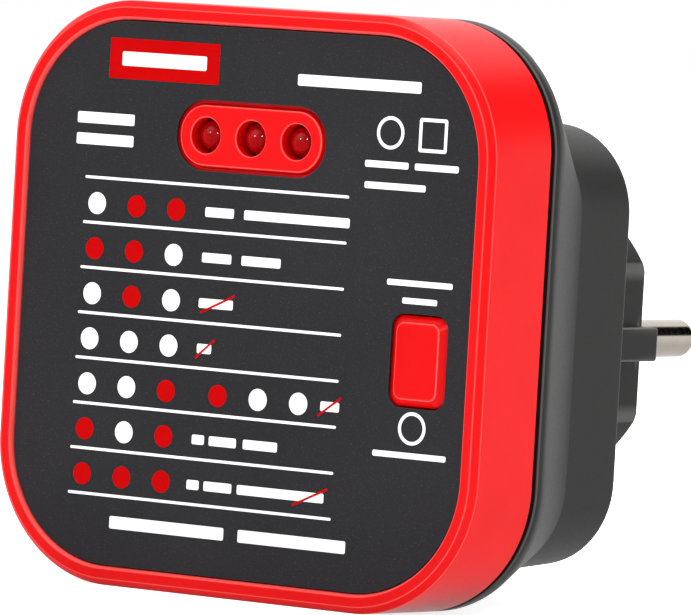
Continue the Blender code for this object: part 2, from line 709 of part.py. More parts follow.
def make_plug_body(material):
    rings = [(EAR_Y, plug_outline(0))] + rounded_end(0, PLUG_EDGE, plug_outline, 2)
    body = loft("plug_body", rings, material)
    flange = [(EAR_Y, PLUG_FLANGE_RADIUS), (EAR_REAR_Y, PLUG_FLANGE_RADIUS)]
    join(body, turned("add_plug_flange", flange, 0, 0))
    for side in (-1, 1):
        ear = [(EAR_Y, EAR_RADIUS), (EAR_REAR_Y, EAR_RADIUS)]
        join(body, turned(f"add_ear_{side}", ear, 0, side * PLUG_POST_OFFSET, steps=24))
        outer = side * (PLUG_FLAT + RIB_PROUD)
        inner = side * (PLUG_FLAT - RIB_PROUD)
        low = (min(outer, inner), BOX_REAR_Y + GAP, -RIB_HEIGHT / 2)
        high = (max(outer, inner), -RIB_SHORT, RIB_HEIGHT / 2)
        join(body, block(f"add_guide_rib_{side}", low, high, edge=RIB_ROUND))
    cavity_outline = rounded_box(CAVITY_HALF_X, CAVITY_HALF_Z, CAVITY_CORNER)
    cavity = [(EAR_Y - GAP, cavity_outline), (-PLUG_FACE_WALL, cavity_outline)]
    cut(body, loft("cut_plug_cavity", cavity))
    for side in (-1, 1):
        hole = [(EAR_Y - GAP, PLUG_SCREW_RADIUS + GAP), (EAR_REAR_Y + GAP, PLUG_SCREW_RADIUS + GAP)]
        place = side * PLUG_POST_OFFSET
        cut(body, turned(f"cut_ear_hole_{side}", hole, 0, place, steps=SMALL_STEPS))
        pin_hole = [(-PLUG_FACE_WALL - GAP, PIN_RADIUS + SLIDE_GAP), (GAP, PIN_RADIUS + SLIDE_GAP)]
        cut(body, turned(f"cut_pin_hole_{side}", pin_hole, side * PIN_PITCH / 2, 0))
        make_earth_channel(body, side)
    sleeve_hole = [(-PLUG_FACE_WALL - GAP, SLEEVE_BORE), (GAP, SLEEVE_BORE)]
    cut(body, turned("cut_earth_pin_hole", sleeve_hole, 0, SLEEVE_RISE, steps=24))


def make_earth_channel(body, side):
    """The open channel for one side earth contact, and the slot through which the contact goes inside."""
    floor = side * EARTH_CHANNEL_FLOOR
    outside = side * (PLUG_RADIUS + GAP)
    low = (-EARTH_CHANNEL_HALF, -EARTH_CHANNEL_LENGTH, min(floor, outside))
    high = (EARTH_CHANNEL_HALF, GAP, max(floor, outside))
    cut(body, block(f"cut_earth_channel_{side}", low, high))
    slot_half = EARTH_CLIP_HALF + GAP
    inside = side * (CAVITY_HALF_Z - GAP)
    above = side * (EARTH_CHANNEL_FLOOR + GAP)
    slot_end = -EARTH_CHANNEL_LENGTH + EARTH_CLIP_THICK + 3 * GAP
    low = (-slot_half, -EARTH_CHANNEL_LENGTH, min(inside, above))
    high = (slot_half, slot_end, max(inside, above))
    cut(body, block(f"cut_earth_slot_{side}", low, high))


def make_earth_clips(material):
    """Bowed contact strips in the top and bottom channels, turned inward at their front ends."""
    for name, side in (("earth_clip_top", 1), ("earth_clip_bottom", -1)):
        base = EARTH_CHANNEL_FLOOR + GAP
        front_y = -EARTH_CHANNEL_LENGTH + GAP
        end_y = -EARTH_CLIP_SHORT
        steps = 8
        outer = []
        for i in range(steps + 1):
            share = i / steps
            y = front_y + (end_y - front_y) * share
            outer.append((y, base + EARTH_CLIP_THICK + EARTH_CLIP_BOW * math.sin(math.pi * share)))
        inner = [(y, z - EARTH_CLIP_THICK) for y, z in outer[:0:-1]]
        bend_y = front_y + EARTH_CLIP_THICK
        outline = outer + inner + [(bend_y, EARTH_CLIP_INNER), (front_y, EARTH_CLIP_INNER)]
        inner_corner = (bend_y, base)
        outline.insert(len(outer) + len(inner), inner_corner)
        points = [(y, side * z) for y, z in outline]
        extruded(name, points, "X", EARTH_CLIP_HALF, material=material)


def make_pins(material):
    tip = [
        (PIN_REACH - PIN_TIP_ROUND * (1 - math.sin(a)), PIN_RADIUS - PIN_TIP_ROUND * (1 - math.cos(a)))
        for a in [math.pi / 2 * i / 5 for i in range(6)]
    ]
    collar_y = -PLUG_FACE_WALL - GAP
    for name, side in (("live_pin", -1), ("neutral_pin", 1)):
        profile = [
            (-PIN_TAIL_END, PIN_TAIL_RADIUS),
            (collar_y - PIN_COLLAR_THICK - GAP / 2, PIN_TAIL_RADIUS),
            (collar_y - PIN_COLLAR_THICK, PIN_COLLAR_RADIUS),
            (collar_y, PIN_COLLAR_RADIUS),
            (collar_y + GAP / 2, PIN_RADIUS),
        ] + tip
        turned(name, profile, side * PIN_PITCH / 2, 0, material)


def make_pin_carrier(material):
    front_y = -PLUG_FACE_WALL - GAP - PIN_COLLAR_THICK - GAP - CARRIER_THICK
    rear_y = front_y + CARRIER_THICK
    outline = rounded_box(
        CAVITY_HALF_X - CARRIER_INSET, CAVITY_HALF_Z - CARRIER_INSET, CAVITY_CORNER - CARRIER_INSET
    )
    carrier = loft("pin_carrier", [(front_y, outline), (rear_y, outline)], material)
    for side in (-1, 1):
        hole = [(front_y - GAP, PIN_TAIL_RADIUS + GAP), (rear_y + GAP, PIN_TAIL_RADIUS + GAP)]
        cut(carrier, turned(f"cut_carrier_{side}", hole, side * PIN_PITCH / 2, 0, steps=24))
    radius = SLEEVE_BORE + SLEEVE_WALL + GAP
    hole = [(front_y - GAP, radius), (rear_y + GAP, radius)]
    cut(carrier, turned("cut_carrier_sleeve", hole, 0, SLEEVE_RISE, steps=24))


def make_earth_sleeve(material):
    rear_y = -PLUG_FACE_WALL - GAP
    front_y = rear_y - SLEEVE_LENGTH
    radius = SLEEVE_BORE + SLEEVE_WALL
    tube = [(front_y, radius), (rear_y, radius)]
    sleeve = turned("earth_pin_sleeve", tube, 0, SLEEVE_RISE, material, 24)
    bore = [(front_y + SLEEVE_WALL, SLEEVE_BORE), (rear_y + GAP, SLEEVE_BORE)]
    cut(sleeve, turned("cut_sleeve_bore", bore, 0, SLEEVE_RISE, steps=24))


def make_plug_screws(material):
    """These point along +Y: their heads bear on the front of the plug body's ears."""
    for name, side in (("plug_screw_top", 1), ("plug_screw_bottom", -1)):
        seat_y = EAR_Y - GAP
        profile = [
            (seat_y - SMALL_HEAD_THICK, PLUG_SCREW_HEAD * 0.7),
            (seat_y - SMALL_HEAD_THICK * 0.6, PLUG_SCREW_HEAD),
            (seat_y, PLUG_SCREW_HEAD),
            (seat_y + GAP / 10, PLUG_SCREW_RADIUS),
            (seat_y + PLUG_SCREW_LENGTH - PLUG_SCREW_RADIUS, PLUG_SCREW_RADIUS),
            (seat_y + PLUG_SCREW_LENGTH, PLUG_SCREW_RADIUS * 0.35),
        ]
        turned(name, profile, 0, side * PLUG_POST_OFFSET, material, SMALL_STEPS)


# ---- Inner wires ----


def bezier_points(start, start_pull, end_pull, end, steps=14):
    points = []
    for i in range(steps + 1):
        t = i / steps
        weights = ((1 - t) ** 3, 3 * t * (1 - t) ** 2, 3 * t * t * (1 - t), t**3)
        corners = (start, start_pull, end_pull, end)
        points.append(tuple(sum(w * c[axis] for w, c in zip(weights, corners)) for axis in range(3)))
    return points


def make_wire(name, points, material):
    curve = bpy.data.curves.new(name, "CURVE")
    curve.dimensions = "3D"
    curve.bevel_depth = WIRE_RADIUS
    curve.bevel_resolution = 2
    curve.use_fill_caps = True
    curve.materials.append(material)
    spline = curve.splines.new("POLY")
    spline.points.add(len(points) - 1)
    for target, point in zip(spline.points, points):
        target.co = (*point, 1.0)
    wire = bpy.data.objects.new(name, curve)
    bpy.context.scene.collection.objects.link(wire)


def make_wires(materials):
    """Each wire runs from a pin's tail or an earth contact to the back of the board."""
    board_end = BOARD_REAR_Y + GAP + WIRE_RADIUS
    for name, side in (("live_wire", -1), ("neutral_wire", 1)):
        pin_x = side * PIN_PITCH / 2
        start = (pin_x, -PIN_TAIL_END - GAP - WIRE_RADIUS / 2, 0)
        end = (side * WIRE_BOARD_X, board_end, FACE_RISE + WIRE_BOARD_Z)
        points = bezier_points(
            start, (pin_x, start[1] - WIRE_PULL, 0), (end[0], end[1] + WIRE_PULL, end[2]), end
        )
        make_wire(name, points, materials[name])
    clip_y = -EARTH_CHANNEL_LENGTH + GAP
    start = (0, clip_y - GAP - WIRE_RADIUS / 2, -(EARTH_CLIP_INNER + EARTH_CHANNEL_FLOOR) / 2)
    end = (0, board_end, EARTH_WIRE_BOARD_Z - FACE_RISE)
    points = bezier_points(
        start, (0, start[1] - WIRE_PULL, start[2]), (0, end[1] + WIRE_PULL, end[2]), end
    )
    make_wire("earth_wire", points, materials["earth_wire"])


def main():
    clear_scene()
    red = make_material("red_shell", (0.80, 0.02, 0.02), 0.35)
    dark = make_material("dark_housing", (0.05, 0.05, 0.05), 0.5)
    label = make_material("label_film", (0.04, 0.04, 0.045), 0.45)
    red_button = make_material("red_button", (0.82, 0.015, 0.015), 0.35)
    lens = make_material("led_lens", (0.55, 0.0, 0.0), 0.1)
    nickel = make_material("nickel_pin", (0.75, 0.70, 0.64), 0.25, 1.0)
    contact = make_material("contact_brass", (0.80, 0.62, 0.32), 0.3, 1.0)
    steel = make_material("screw_steel", (0.55, 0.55, 0.55), 0.35, 1.0)
    board = make_material("board", (0.03, 0.20, 0.09), 0.4)
    black = make_material("black_plastic", (0.02, 0.02, 0.02), 0.4)
    inner = make_material("carrier_plastic", (0.75, 0.74, 0.70), 0.5)
    spring_steel = make_material("spring_steel", (0.65, 0.65, 0.66), 0.3, 1.0)
    part_materials = {
        "load_resistor": make_material("load_resistor", (0.30, 0.42, 0.50), 0.6),
        "resistor": make_material("resistor", (0.62, 0.50, 0.34), 0.5),
        "diode": black,
        "capacitor": make_material("capacitor", (0.03, 0.05, 0.16), 0.4),
    }
    wire_materials = {
        "live_wire": make_material("wire_brown", (0.20, 0.08, 0.03), 0.5),
        "neutral_wire": make_material("wire_blue", (0.03, 0.10, 0.45), 0.5),
        "earth_wire": make_material("wire_green_yellow", (0.35, 0.50, 0.05), 0.5),
    }
    make_front_cover(red)
    make_overlay(label)
    make_lamps(lens)
    make_button(red_button)
    make_switch(black, inner, spring_steel)
    make_board(board, steel)
    make_board_parts(part_materials)
    make_rear_housing(dark)
    make_case_screws(steel)
    make_plug_body(dark)
    make_pins(nickel)
    make_pin_carrier(inner)
    make_earth_clips(contact)
    make_earth_sleeve(contact)
    make_plug_screws(steel)
    make_wires(wire_materials)


main()
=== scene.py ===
"""The outlet tester's looks: fine bodies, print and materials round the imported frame, in a plain studio.

Metres, +Z up. The origin is the centre of the plug's end face. The front faces -Y, and the pins point
along +Y.
"""

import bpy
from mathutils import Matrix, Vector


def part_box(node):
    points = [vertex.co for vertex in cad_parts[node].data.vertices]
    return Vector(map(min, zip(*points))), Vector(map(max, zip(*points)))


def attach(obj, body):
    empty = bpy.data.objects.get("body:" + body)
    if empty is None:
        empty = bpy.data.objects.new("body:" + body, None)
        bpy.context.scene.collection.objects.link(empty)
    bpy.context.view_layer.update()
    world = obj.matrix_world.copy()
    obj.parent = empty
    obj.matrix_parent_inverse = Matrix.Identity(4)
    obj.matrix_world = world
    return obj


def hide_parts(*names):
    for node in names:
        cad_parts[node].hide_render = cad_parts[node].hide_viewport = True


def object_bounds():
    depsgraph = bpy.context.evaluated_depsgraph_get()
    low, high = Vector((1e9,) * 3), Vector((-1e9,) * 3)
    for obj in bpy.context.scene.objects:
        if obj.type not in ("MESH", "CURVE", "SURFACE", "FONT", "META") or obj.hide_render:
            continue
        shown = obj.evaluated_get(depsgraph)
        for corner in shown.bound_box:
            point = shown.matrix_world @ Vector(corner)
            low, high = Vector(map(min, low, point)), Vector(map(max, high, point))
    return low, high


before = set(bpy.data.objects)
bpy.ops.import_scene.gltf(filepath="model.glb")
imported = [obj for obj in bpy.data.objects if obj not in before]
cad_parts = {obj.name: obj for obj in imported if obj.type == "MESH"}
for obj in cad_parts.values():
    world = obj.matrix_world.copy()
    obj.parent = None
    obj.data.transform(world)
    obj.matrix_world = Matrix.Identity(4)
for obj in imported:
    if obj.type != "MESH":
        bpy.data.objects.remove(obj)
CAD_BOX = [list(corner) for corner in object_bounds()]

import math

import bmesh
import bpy
from mathutils import Matrix, Vector

MM = 0.001


# ---- Camera and light ----
CAMERA_AZIMUTH = 35.019
CAMERA_ELEVATION = 2.509
CAMERA_ROLL = 3.299
CAMERA_DISTANCE = 0.925608  # from the middle of the label
CAMERA_RIGHT = 0.012355
CAMERA_UP = -0.000409
CAMERA_LENS = 407.35
SENSOR_WIDTH = 36.0
FLOOR_RADIUS = 6.0
FLOOR_GLOW = 0.8
WORLD_FRONT = 0.30
WORLD_BACK = 1.3
WORLD_BELOW = 0.75
DARK_CARD = (0.387, 0.818, 0.424)  # direction of the dark card that the pins mirror
DARK_CARD_COSINES = (0.950, 0.965)  # where its soft edge starts, and where it is fully dark
SOFTBOX_TARGET = (0.0, -0.045, 0.003)
SOFTBOXES = [  # name, place, side of the square, watts
    ("top", (0.05, -0.05, 0.75), 0.6, 8.0),
    ("fill", (-0.35, -0.75, 0.50), 0.7, 1.3),
    ("left_spot", (-0.32, -0.90, 0.30), 0.07, 1.2),
    ("right_spot", (0.45, -0.83, 0.35), 0.07, 2.2),
    ("side", (0.85, -0.25, 0.25), 0.4, 0.6),
]

# ---- Places read from the frame ----
SHELL_LOW, SHELL_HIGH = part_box("front_shell")
LABEL_LOW, LABEL_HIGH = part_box("front_label")
BUTTON_LOW, BUTTON_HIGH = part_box("test_button")
HOUSING_LOW, HOUSING_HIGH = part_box("rear_housing")
PLUG_LOW, PLUG_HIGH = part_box("plug_body")
FACE_HALF = SHELL_HIGH.x
FACE_RISE = (SHELL_LOW.z + SHELL_HIGH.z) / 2
RIM_Y = SHELL_LOW.y
OVERLAY_Y = LABEL_LOW.y
LABEL_REAR_Y = LABEL_HIGH.y
LABEL_INSET = FACE_HALF - LABEL_HIGH.x
TONGUE_Y = HOUSING_LOW.y
BOX_REAR_Y = HOUSING_HIGH.y
FLANGE_FRONT_Y = PLUG_LOW.y
PLUG_FACE_Y = PLUG_HIGH.y
BUTTON_X = (BUTTON_LOW.x + BUTTON_HIGH.x) / 2
BUTTON_Z = (BUTTON_LOW.z + BUTTON_HIGH.z) / 2
BUTTON_Y = BUTTON_LOW.y
BUTTON_REAR_Y = BUTTON_HIGH.y

# ---- Front cover ----
FACE_CORNER = 17.0 * MM  # corner radius of the front edge
SKIRT_CORNER = 15.8 * MM  # corner radius where the cover meets the housing
RIM_WIDTH = 2.3 * MM
RIM_FLAT_START = 2.0 * MM  # the rim's flat top lies between these two insets
RIM_FLAT_END = 0.95 * MM
RIM_EDGE_TURNS = [(1, 10), (1, 27), (1, 41), (4, 41), (4, 49), (1, 49), (1, 63), (1, 80)]  # length, degrees
COVER_REAR_Y = RIM_Y + 12.0 * MM
COVER_WALL = 1.7 * MM
FLOOR_Y = LABEL_REAR_Y + 0.3 * MM
INSIDE_Y = FLOOR_Y + 1.6 * MM
SOFT_EDGE = 0.12 * MM  # radius of the small rounds
SUPPORT = 0.10 * MM  # distance of the extra ring beside a round
WINDOW_HALF_X = 10.9 * MM
WINDOW_HALF_Z = 4.2 * MM
WINDOW_MOAT = 0.3 * MM
WINDOW_SLOPE = 0.3 * MM
LAMP_HOLE = 2.15 * MM
LAMP_HOLE_ROUND = 0.16 * MM
CASE_POST_FOOT = 4.0 * MM
CASE_POST_RADIUS = 3.4 * MM
CASE_HOLE = 1.8 * MM
BOARD_POST_RADIUS = 2.4 * MM
BOARD_POST_HOLE = 1.3 * MM

# ---- Button ----
BUTTON_HALF_X = 3.8 * MM
BUTTON_HALF_Z = 5.3 * MM
BUTTON_CORNER = 1.5 * MM
BUTTON_GAP = 0.2 * MM
BUTTON_FACE_INSET = 0.75 * MM
BUTTON_ROUND = 0.18 * MM
BUTTON_CROWN = 0.10 * MM
BUTTON_SLOPE = 0.9 * MM  # depth over which the cap widens to its full size
BUTTON_FLANGE = 1.1 * MM
BUTTON_FLANGE_Y = BUTTON_REAR_Y - 0.8 * MM

# ---- Lamps ----
LED_RADIUS = 1.5 * MM
LED_DOME = 1.95 * MM
LED_DOME_HEIGHT = 1.75 * MM
LED_FORWARD = 0.5 * MM
LED_BARREL_LENGTH = 3.2 * MM
LED_LEG = 0.5 * MM
LED_LEG_PITCH = 2.04 * MM
LED_LENGTH = 5.3 * MM

# ---- Rear housing ----
SEAM = 1.1 * MM
BAND_Y = COVER_REAR_Y + SEAM
TAPER_Y = BAND_Y + 1.8 * MM
BOX_Y = TAPER_Y + 16.0 * MM
BOX_FRONT_HALF = 27.4 * MM
BOX_FRONT_CORNER = 11.2 * MM
BOX_REAR_HALF = 26.85 * MM
BOX_REAR_CORNER = 10.8 * MM
BOX_ROUND = 0.35 * MM
HOUSING_WALL = 1.8 * MM
TONGUE_INSET = 2.0 * MM
TONGUE_WALL = 1.2 * MM
WELL_FLOOR_Y = BOX_REAR_Y - 15.0 * MM
SCREW_HEAD_THICK = 2.0 * MM
THREAD_PITCH = 1.0 * MM
THREAD_CORE = 1.1 * MM  # radius under the thread
THREAD_CREST = 0.34 * MM
CROSS_REACH = 0.55  # half length of the driver cross, over the head's radius
CROSS_HALF = 0.14  # half width, over the head's radius
CROSS_DEPTH = 1.1 * MM
CROSS_OVER = 0.3 * MM  # how far the cut starts above the head
WELL_BOTTOM = 2.0 * MM
WELL_HOLE = 3.2 * MM
WELL_TUBE = 3.5 * MM
PLUG_POST_Z = 22.1 * MM
PLUG_POST_RADIUS = 2.1 * MM
PLUG_POST_HOLE = 1.3 * MM

# ---- Plug ----
PLUG_RADIUS = 18.5 * MM
PLUG_FLAT = 16.0 * MM
PLUG_EDGE = 0.3 * MM
PLUG_FACE_WALL = 3.0 * MM
FLANGE_RADIUS = 20.0 * MM
FLANGE_THICK = 2.0 * MM
EAR_RADIUS = 2.5 * MM
RIB_X = 19.0 * MM
RIB_HALF = 2.1 * MM
RIB_START_Y = BOX_REAR_Y + 0.3 * MM
RIB_END_Y = PLUG_FACE_Y - 0.7 * MM
RIB_ROUND = 0.6 * MM
CHANNEL_HALF = 3.2 * MM
CHANNEL_FLOOR = 15.2 * MM
CHANNEL_START_Y = PLUG_FACE_Y - 17.2 * MM
CAVITY_HALF_X = 13.8 * MM
CAVITY_HALF_Z = 13.2 * MM
CAVITY_CORNER = 6.0 * MM
PIN_X = (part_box("neutral_pin")[0].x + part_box("neutral_pin")[1].x) / 2
PIN_TIP_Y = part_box("neutral_pin")[1].y
PIN_TAIL_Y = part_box("neutral_pin")[0].y
PIN_RADIUS = 2.4 * MM
PIN_HOLE = 2.6 * MM
PIN_COLLAR = 3.2 * MM
PIN_TAIL_RADIUS = 1.5 * MM
PIN_TIP_ROUND = 1.0 * MM
EARTH_HOLE = 2.5 * MM
EARTH_HOLE_Z = 9.8 * MM
SLEEVE_WALL = 0.5 * MM
CLIP_HALF = 2.2 * MM
CLIP_THICK = 0.6 * MM
CLIP_BOW = 0.8 * MM
CLIP_INNER = 6.8 * MM
CLIP_BASE = CHANNEL_FLOOR + 0.3 * MM

# ---- Steps of round shapes ----
CORNER_STEPS = 40
HOLE_STEPS = 64
SMALL_STEPS = 32
FILLET_STEPS = 5
SHARP_ANGLE = math.radians(38)
# The edge layer masks the painted highlight on outward rounds, with some edge wear on the mouldings.
EDGE_LAYER = "edge"
ROUND_LEAST = math.radians(9.5)  # bends between the faces of a small round
ROUND_FULL = math.radians(16)
ROUND_MOST = math.radians(40)

# ---- Print on the label, in millimetres from the label's middle ----
INK = 0.015 * MM
ROW_PITCH = 5.419
FIRST_LINE_Z = 13.63
LINE_START = -24.05
LINE_END = 14.7
LINE_THICK = 0.34
FIRST_DOT_Z = 10.545
FIRST_DOT_X = -22.09
DOT_PITCH = 5.892
DOT_RADIUS = 1.32
DOT_ROWS = ["WRR", "RRW", "WRW", "WWW", "WWR", "RWR", "RRR"]
SECOND_DOT_ROW = 4
SECOND_DOT_X = -2.69
SECOND_DOTS = "RWW"
ROW_BAR = 1.15  # height of the plain bars that stand for words
ROW_WORDS = [
    [(-6.0, -1.8), (-0.3, 15.0)],
    [(-6.1, -1.8), (-0.3, 5.4)],
    [(-6.2, -1.2)],
    [(-6.1, -4.0)],
    [(12.3, 15.0)],
    [(-6.1, -4.3), (-3.6, 0.4), (1.4, 6.4)],
    [(-6.5, -4.7), (-4.0, 0.1), (0.9, 13.5)],
]
STRUCK_WORDS = [  # row, and the stroke's ends
    (2, -5.9, -1.0),
    (3, -6.3, -3.6),
    (4, 12.0, 15.2),
    (6, 9.0, 14.0),
]
STROKE_RISE = 2.3
STROKE_THICK = 0.28
OTHER_WORDS = [  # x from and to, middle z, height
    (6.4, 24.1, 26.95, 1.35),
    (-25.7, -17.2, 20.75, 1.35),
    (-25.7, -17.2, 18.2, 1.35),
    (16.7, 22.9, 17.75, 0.8),
    (23.8, 30.0, 17.75, 0.8),
    (16.8, 25.5, 15.25, 0.8),
    (20.8, 30.1, 4.15, 0.7),
    (23.1, 28.05, 2.1, 0.7),
    (20.1, 30.5, -15.95, 0.7),
    (-17.6, -0.7, -27.45, 1.5),
    (1.4, 17.0, -27.45, 1.5),
]
PLATE = (-21.35, -5.13, 28.08, 4.85)  # the red block, and the plain bar on it
PLATE_BAR = (-19.5, -7.0, 28.08, 1.7)
RING_MARKS = [(20.1, 21.5), (25.5, -12.75)]
RING_RADIUS = 1.95
FRAME_MARK = (26.15, 21.5)
FRAME_HALF = 2.0
MARK_STROKE = 0.42


# ---- Outlines in the XZ plane ----


def arc(x, z, radius, start, end, steps):
    """Points of an arc from one angle to the other, both ends included."""
    angles = [start + (end - start) * i / steps for i in range(steps + 1)]
    return [(x + radius * math.cos(a), z + radius * math.sin(a)) for a in angles]


def rounded_box(half_x, half_z, corner, x=0.0, z=0.0, steps=CORNER_STEPS):
    points = []
    quarter = math.pi / 2
    for turn, (side_x, side_z) in enumerate([(1, 1), (-1, 1), (-1, -1), (1, -1)]):
        corner_x = x + side_x * (half_x - corner)
        corner_z = z + side_z * (half_z - corner)
        points += arc(corner_x, corner_z, corner, turn * quarter, (turn + 1) * quarter, steps)
    return points


def circle(radius, x=0.0, z=0.0, steps=HOLE_STEPS):
    return arc(x, z, radius, 0, 2 * math.pi, steps)[:-1]


def face_outline(inset, share=0.0):
    """The square front's outline. share is how far along the skirt it lies, from front edge to rear edge."""
    corner = FACE_CORNER + (SKIRT_CORNER - FACE_CORNER) * share
    return rounded_box(FACE_HALF - inset, FACE_HALF - inset, corner - inset, 0, FACE_RISE)


def skirt_outline(inset):
    return face_outline(inset, 1.0)


def window_outline(inset):
    half_z = WINDOW_HALF_Z - inset
    return rounded_box(WINDOW_HALF_X - inset, half_z, half_z - SUPPORT, 0, window_z())


def button_outline(grow, steps=CORNER_STEPS // 2):
    half_x = BUTTON_HALF_X + grow
    half_z = BUTTON_HALF_Z + grow
    return rounded_box(half_x, half_z, BUTTON_CORNER + grow, BUTTON_X, BUTTON_Z, steps)


def box_outline(half, corner, inset):
    return rounded_box(half - inset, half - inset, corner - inset)


def middle(node):
    low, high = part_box(node)
    return (low + high) / 2


def window_z():
    return middle("indicator_led_centre").z


# ---- Meshes ----


def add_ring(builder, y, outline):
    return [builder.verts.new((x, y, z)) for x, z in outline]


def bridge(builder, first, second):
    count = len(first)
    for i in range(count):
        j = (i + 1) % count
        builder.faces.new((first[i], first[j], second[j], second[i]))


def sleeve(builder, rings):
    """A tube through (y, outline) rings of equal length. Returns its first and last ring."""
    layers = [add_ring(builder, y, outline) for y, outline in rings]
    for first, second in zip(layers, layers[1:]):
        bridge(builder, first, second)
    return layers[0], layers[-1]


def cap(builder, *loops):
    """Fills the flat region between the first loop and the others, which are its holes."""
    edges = []
    for loop in loops:
        edges += [builder.edges.get((a, b)) for a, b in zip(loop, loop[1:] + loop[:1])]
    bmesh.ops.triangle_fill(builder, use_beauty=True, edges=edges)


def round_steps(radius, steps=FILLET_STEPS):
    """(along, inward) of a quarter round, from the wall to the flat."""
    angles = [math.pi / 2 * i / steps for i in range(steps + 1)]
    return [(radius * (1 - math.sin(a)), radius * (1 - math.cos(a))) for a in angles]


def mark_edges(builder):
    """Stores at each vertex how strongly a small outward round bends there, for the painted highlight and
    wear on edges.
    """
    layer = builder.verts.layers.float.new(EDGE_LAYER)
    for vertex in builder.verts:
        bends = [edge.calc_face_angle_signed(0.0) for edge in vertex.link_edges if edge.is_manifold]
        rounds = [bend for bend in bends if bend < ROUND_MOST]
        bend = max(rounds, default=0.0)
        vertex[layer] = min(max((bend - ROUND_LEAST) / (ROUND_FULL - ROUND_LEAST), 0.0), 1.0)


def add_piece(name, builder, materials, body, replaced=()):
    bmesh.ops.remove_doubles(builder, verts=builder.verts, dist=1e-7)
    bmesh.ops.recalc_face_normals(builder, faces=builder.faces)
    mark_edges(builder)
    mesh = bpy.data.meshes.new(name)
    builder.to_mesh(mesh)
    builder.free()
    for material in materials:
        mesh.materials.append(material)
    mesh.shade_smooth()
    mesh.set_sharp_from_angle(angle=SHARP_ANGLE)
    piece = bpy.data.objects.new(name, mesh)
    bpy.context.scene.collection.objects.link(piece)
    weighted = piece.modifiers.new("flat faces stay flat", "WEIGHTED_NORMAL")
    weighted.keep_sharp = True
    weighted.weight = 100
    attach(piece, body)
    if replaced:
        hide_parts(*replaced)
    return piece


def turned_rings(profile, x, z, steps=HOLE_STEPS):
    return [(y, circle(radius, x, z, steps)) for y, radius in profile]


def add_turned(builder, profile, x, z, steps=HOLE_STEPS):
    """A closed solid of revolution about a line along Y, through (y, radius) points."""
    first, last = sleeve(builder, turned_rings(profile, x, z, steps))
    builder.faces.new(first)
    builder.faces.new(last)


def add_block(builder, low, high):
    size = Vector(high) - Vector(low)
    place = Matrix.Translation((Vector(high) + Vector(low)) / 2) @ Matrix.Diagonal((*size, 1))
    return bmesh.ops.create_cube(builder, size=1.0, matrix=place)["verts"]


def cut_with(piece, add_cutter):
    """Cuts the shape that add_cutter adds to a bmesh out of the piece, for good."""
    builder = bmesh.new()
    add_cutter(builder)
    mesh = bpy.data.meshes.new("cutter")
    builder.to_mesh(mesh)
    builder.free()
    cutter = bpy.data.objects.new("cutter", mesh)
    bpy.context.scene.collection.objects.link(cutter)
    modifier = piece.modifiers.new("cut", "BOOLEAN")
    modifier.object = cutter
    piece.modifiers.move(len(piece.modifiers) - 1, 0)
    weighted = piece.modifiers["flat faces stay flat"]
    weighted.show_viewport = False
    bpy.context.view_layer.update()
    evaluated = piece.evaluated_get(bpy.context.evaluated_depsgraph_get())
    piece.data = bpy.data.meshes.new_from_object(evaluated)
    weighted.show_viewport = True
    piece.modifiers.remove(piece.modifiers["cut"])
    bpy.data.objects.remove(cutter)
    piece.data.set_sharp_from_angle(angle=SHARP_ANGLE)


# ---- Materials ----


def add_node(tree, kind, settings=None, **inputs):
    """A shader node. An input named with underscores is linked if its value is a socket, and set if not."""
    made = tree.nodes.new(kind)
    for name, value in (settings or {}).items():
        setattr(made, name, value)
    for name, value in inputs.items():
        socket = made.inputs[name.replace("_", " ")]
        if isinstance(value, bpy.types.NodeSocket):
            tree.links.new(value, socket)
        else:
            socket.default_value = value
    return made


def start_material(name):
    """A material with only its Principled shader, and the object's coordinates."""
    material = bpy.data.materials.new(name)
    material.use_nodes = True
    tree = material.node_tree
    shader = tree.nodes["Principled BSDF"]
    place = tree.nodes.new("ShaderNodeTexCoord").outputs["Object"]
    return material, tree, shader, place


def noise(tree, place, scale, detail=3.0, rough=0.55):
    settings = {"noise_dimensions": "3D"}
    made = add_node(
        tree, "ShaderNodeTexNoise", settings, Vector=place, Scale=scale, Detail=detail, Roughness=rough
    )
    return made.outputs["Fac"]


def ramp(tree, value, stops, interpolation="LINEAR"):
    """stops are (position, colour) pairs."""
    made = add_node(tree, "ShaderNodeValToRGB", Fac=value)
    made.color_ramp.interpolation = interpolation
    elements = made.color_ramp.elements
    while len(elements) < len(stops):
        elements.new(0.5)
    for element, (position, colour) in zip(elements, stops):
        element.position = position
        element.color = (*colour, 1.0)
    return made.outputs["Color"]


def spread(tree, value, low, high, start=0.3, end=0.7):
    made = add_node(
        tree, "ShaderNodeMapRange", Value=value, From_Min=start, From_Max=end, To_Min=low, To_Max=high
    )
    return made.outputs["Result"]


def multiply(tree, first, second):
    made = add_node(tree, "ShaderNodeMath", {"operation": "MULTIPLY"})
    tree.links.new(first, made.inputs[0])
    tree.links.new(second, made.inputs[1])
    return made.outputs["Value"]


def blend_colours(tree, share, first, second):
    return add_node(tree, "ShaderNodeMixRGB", Fac=share, Color1=first, Color2=second).outputs["Color"]


def edge_highlight_share(tree, strength):
    """How much of the painted highlight, with some edge wear, shows on an outward edge here."""
    edge = add_node(tree, "ShaderNodeAttribute", {"attribute_name": EDGE_LAYER})
    return spread(tree, edge.outputs["Fac"], 0.0, strength, 0.25, 1.0)


def lit(colour, factor):
    return tuple(min(channel * factor, 1.0) for channel in colour)


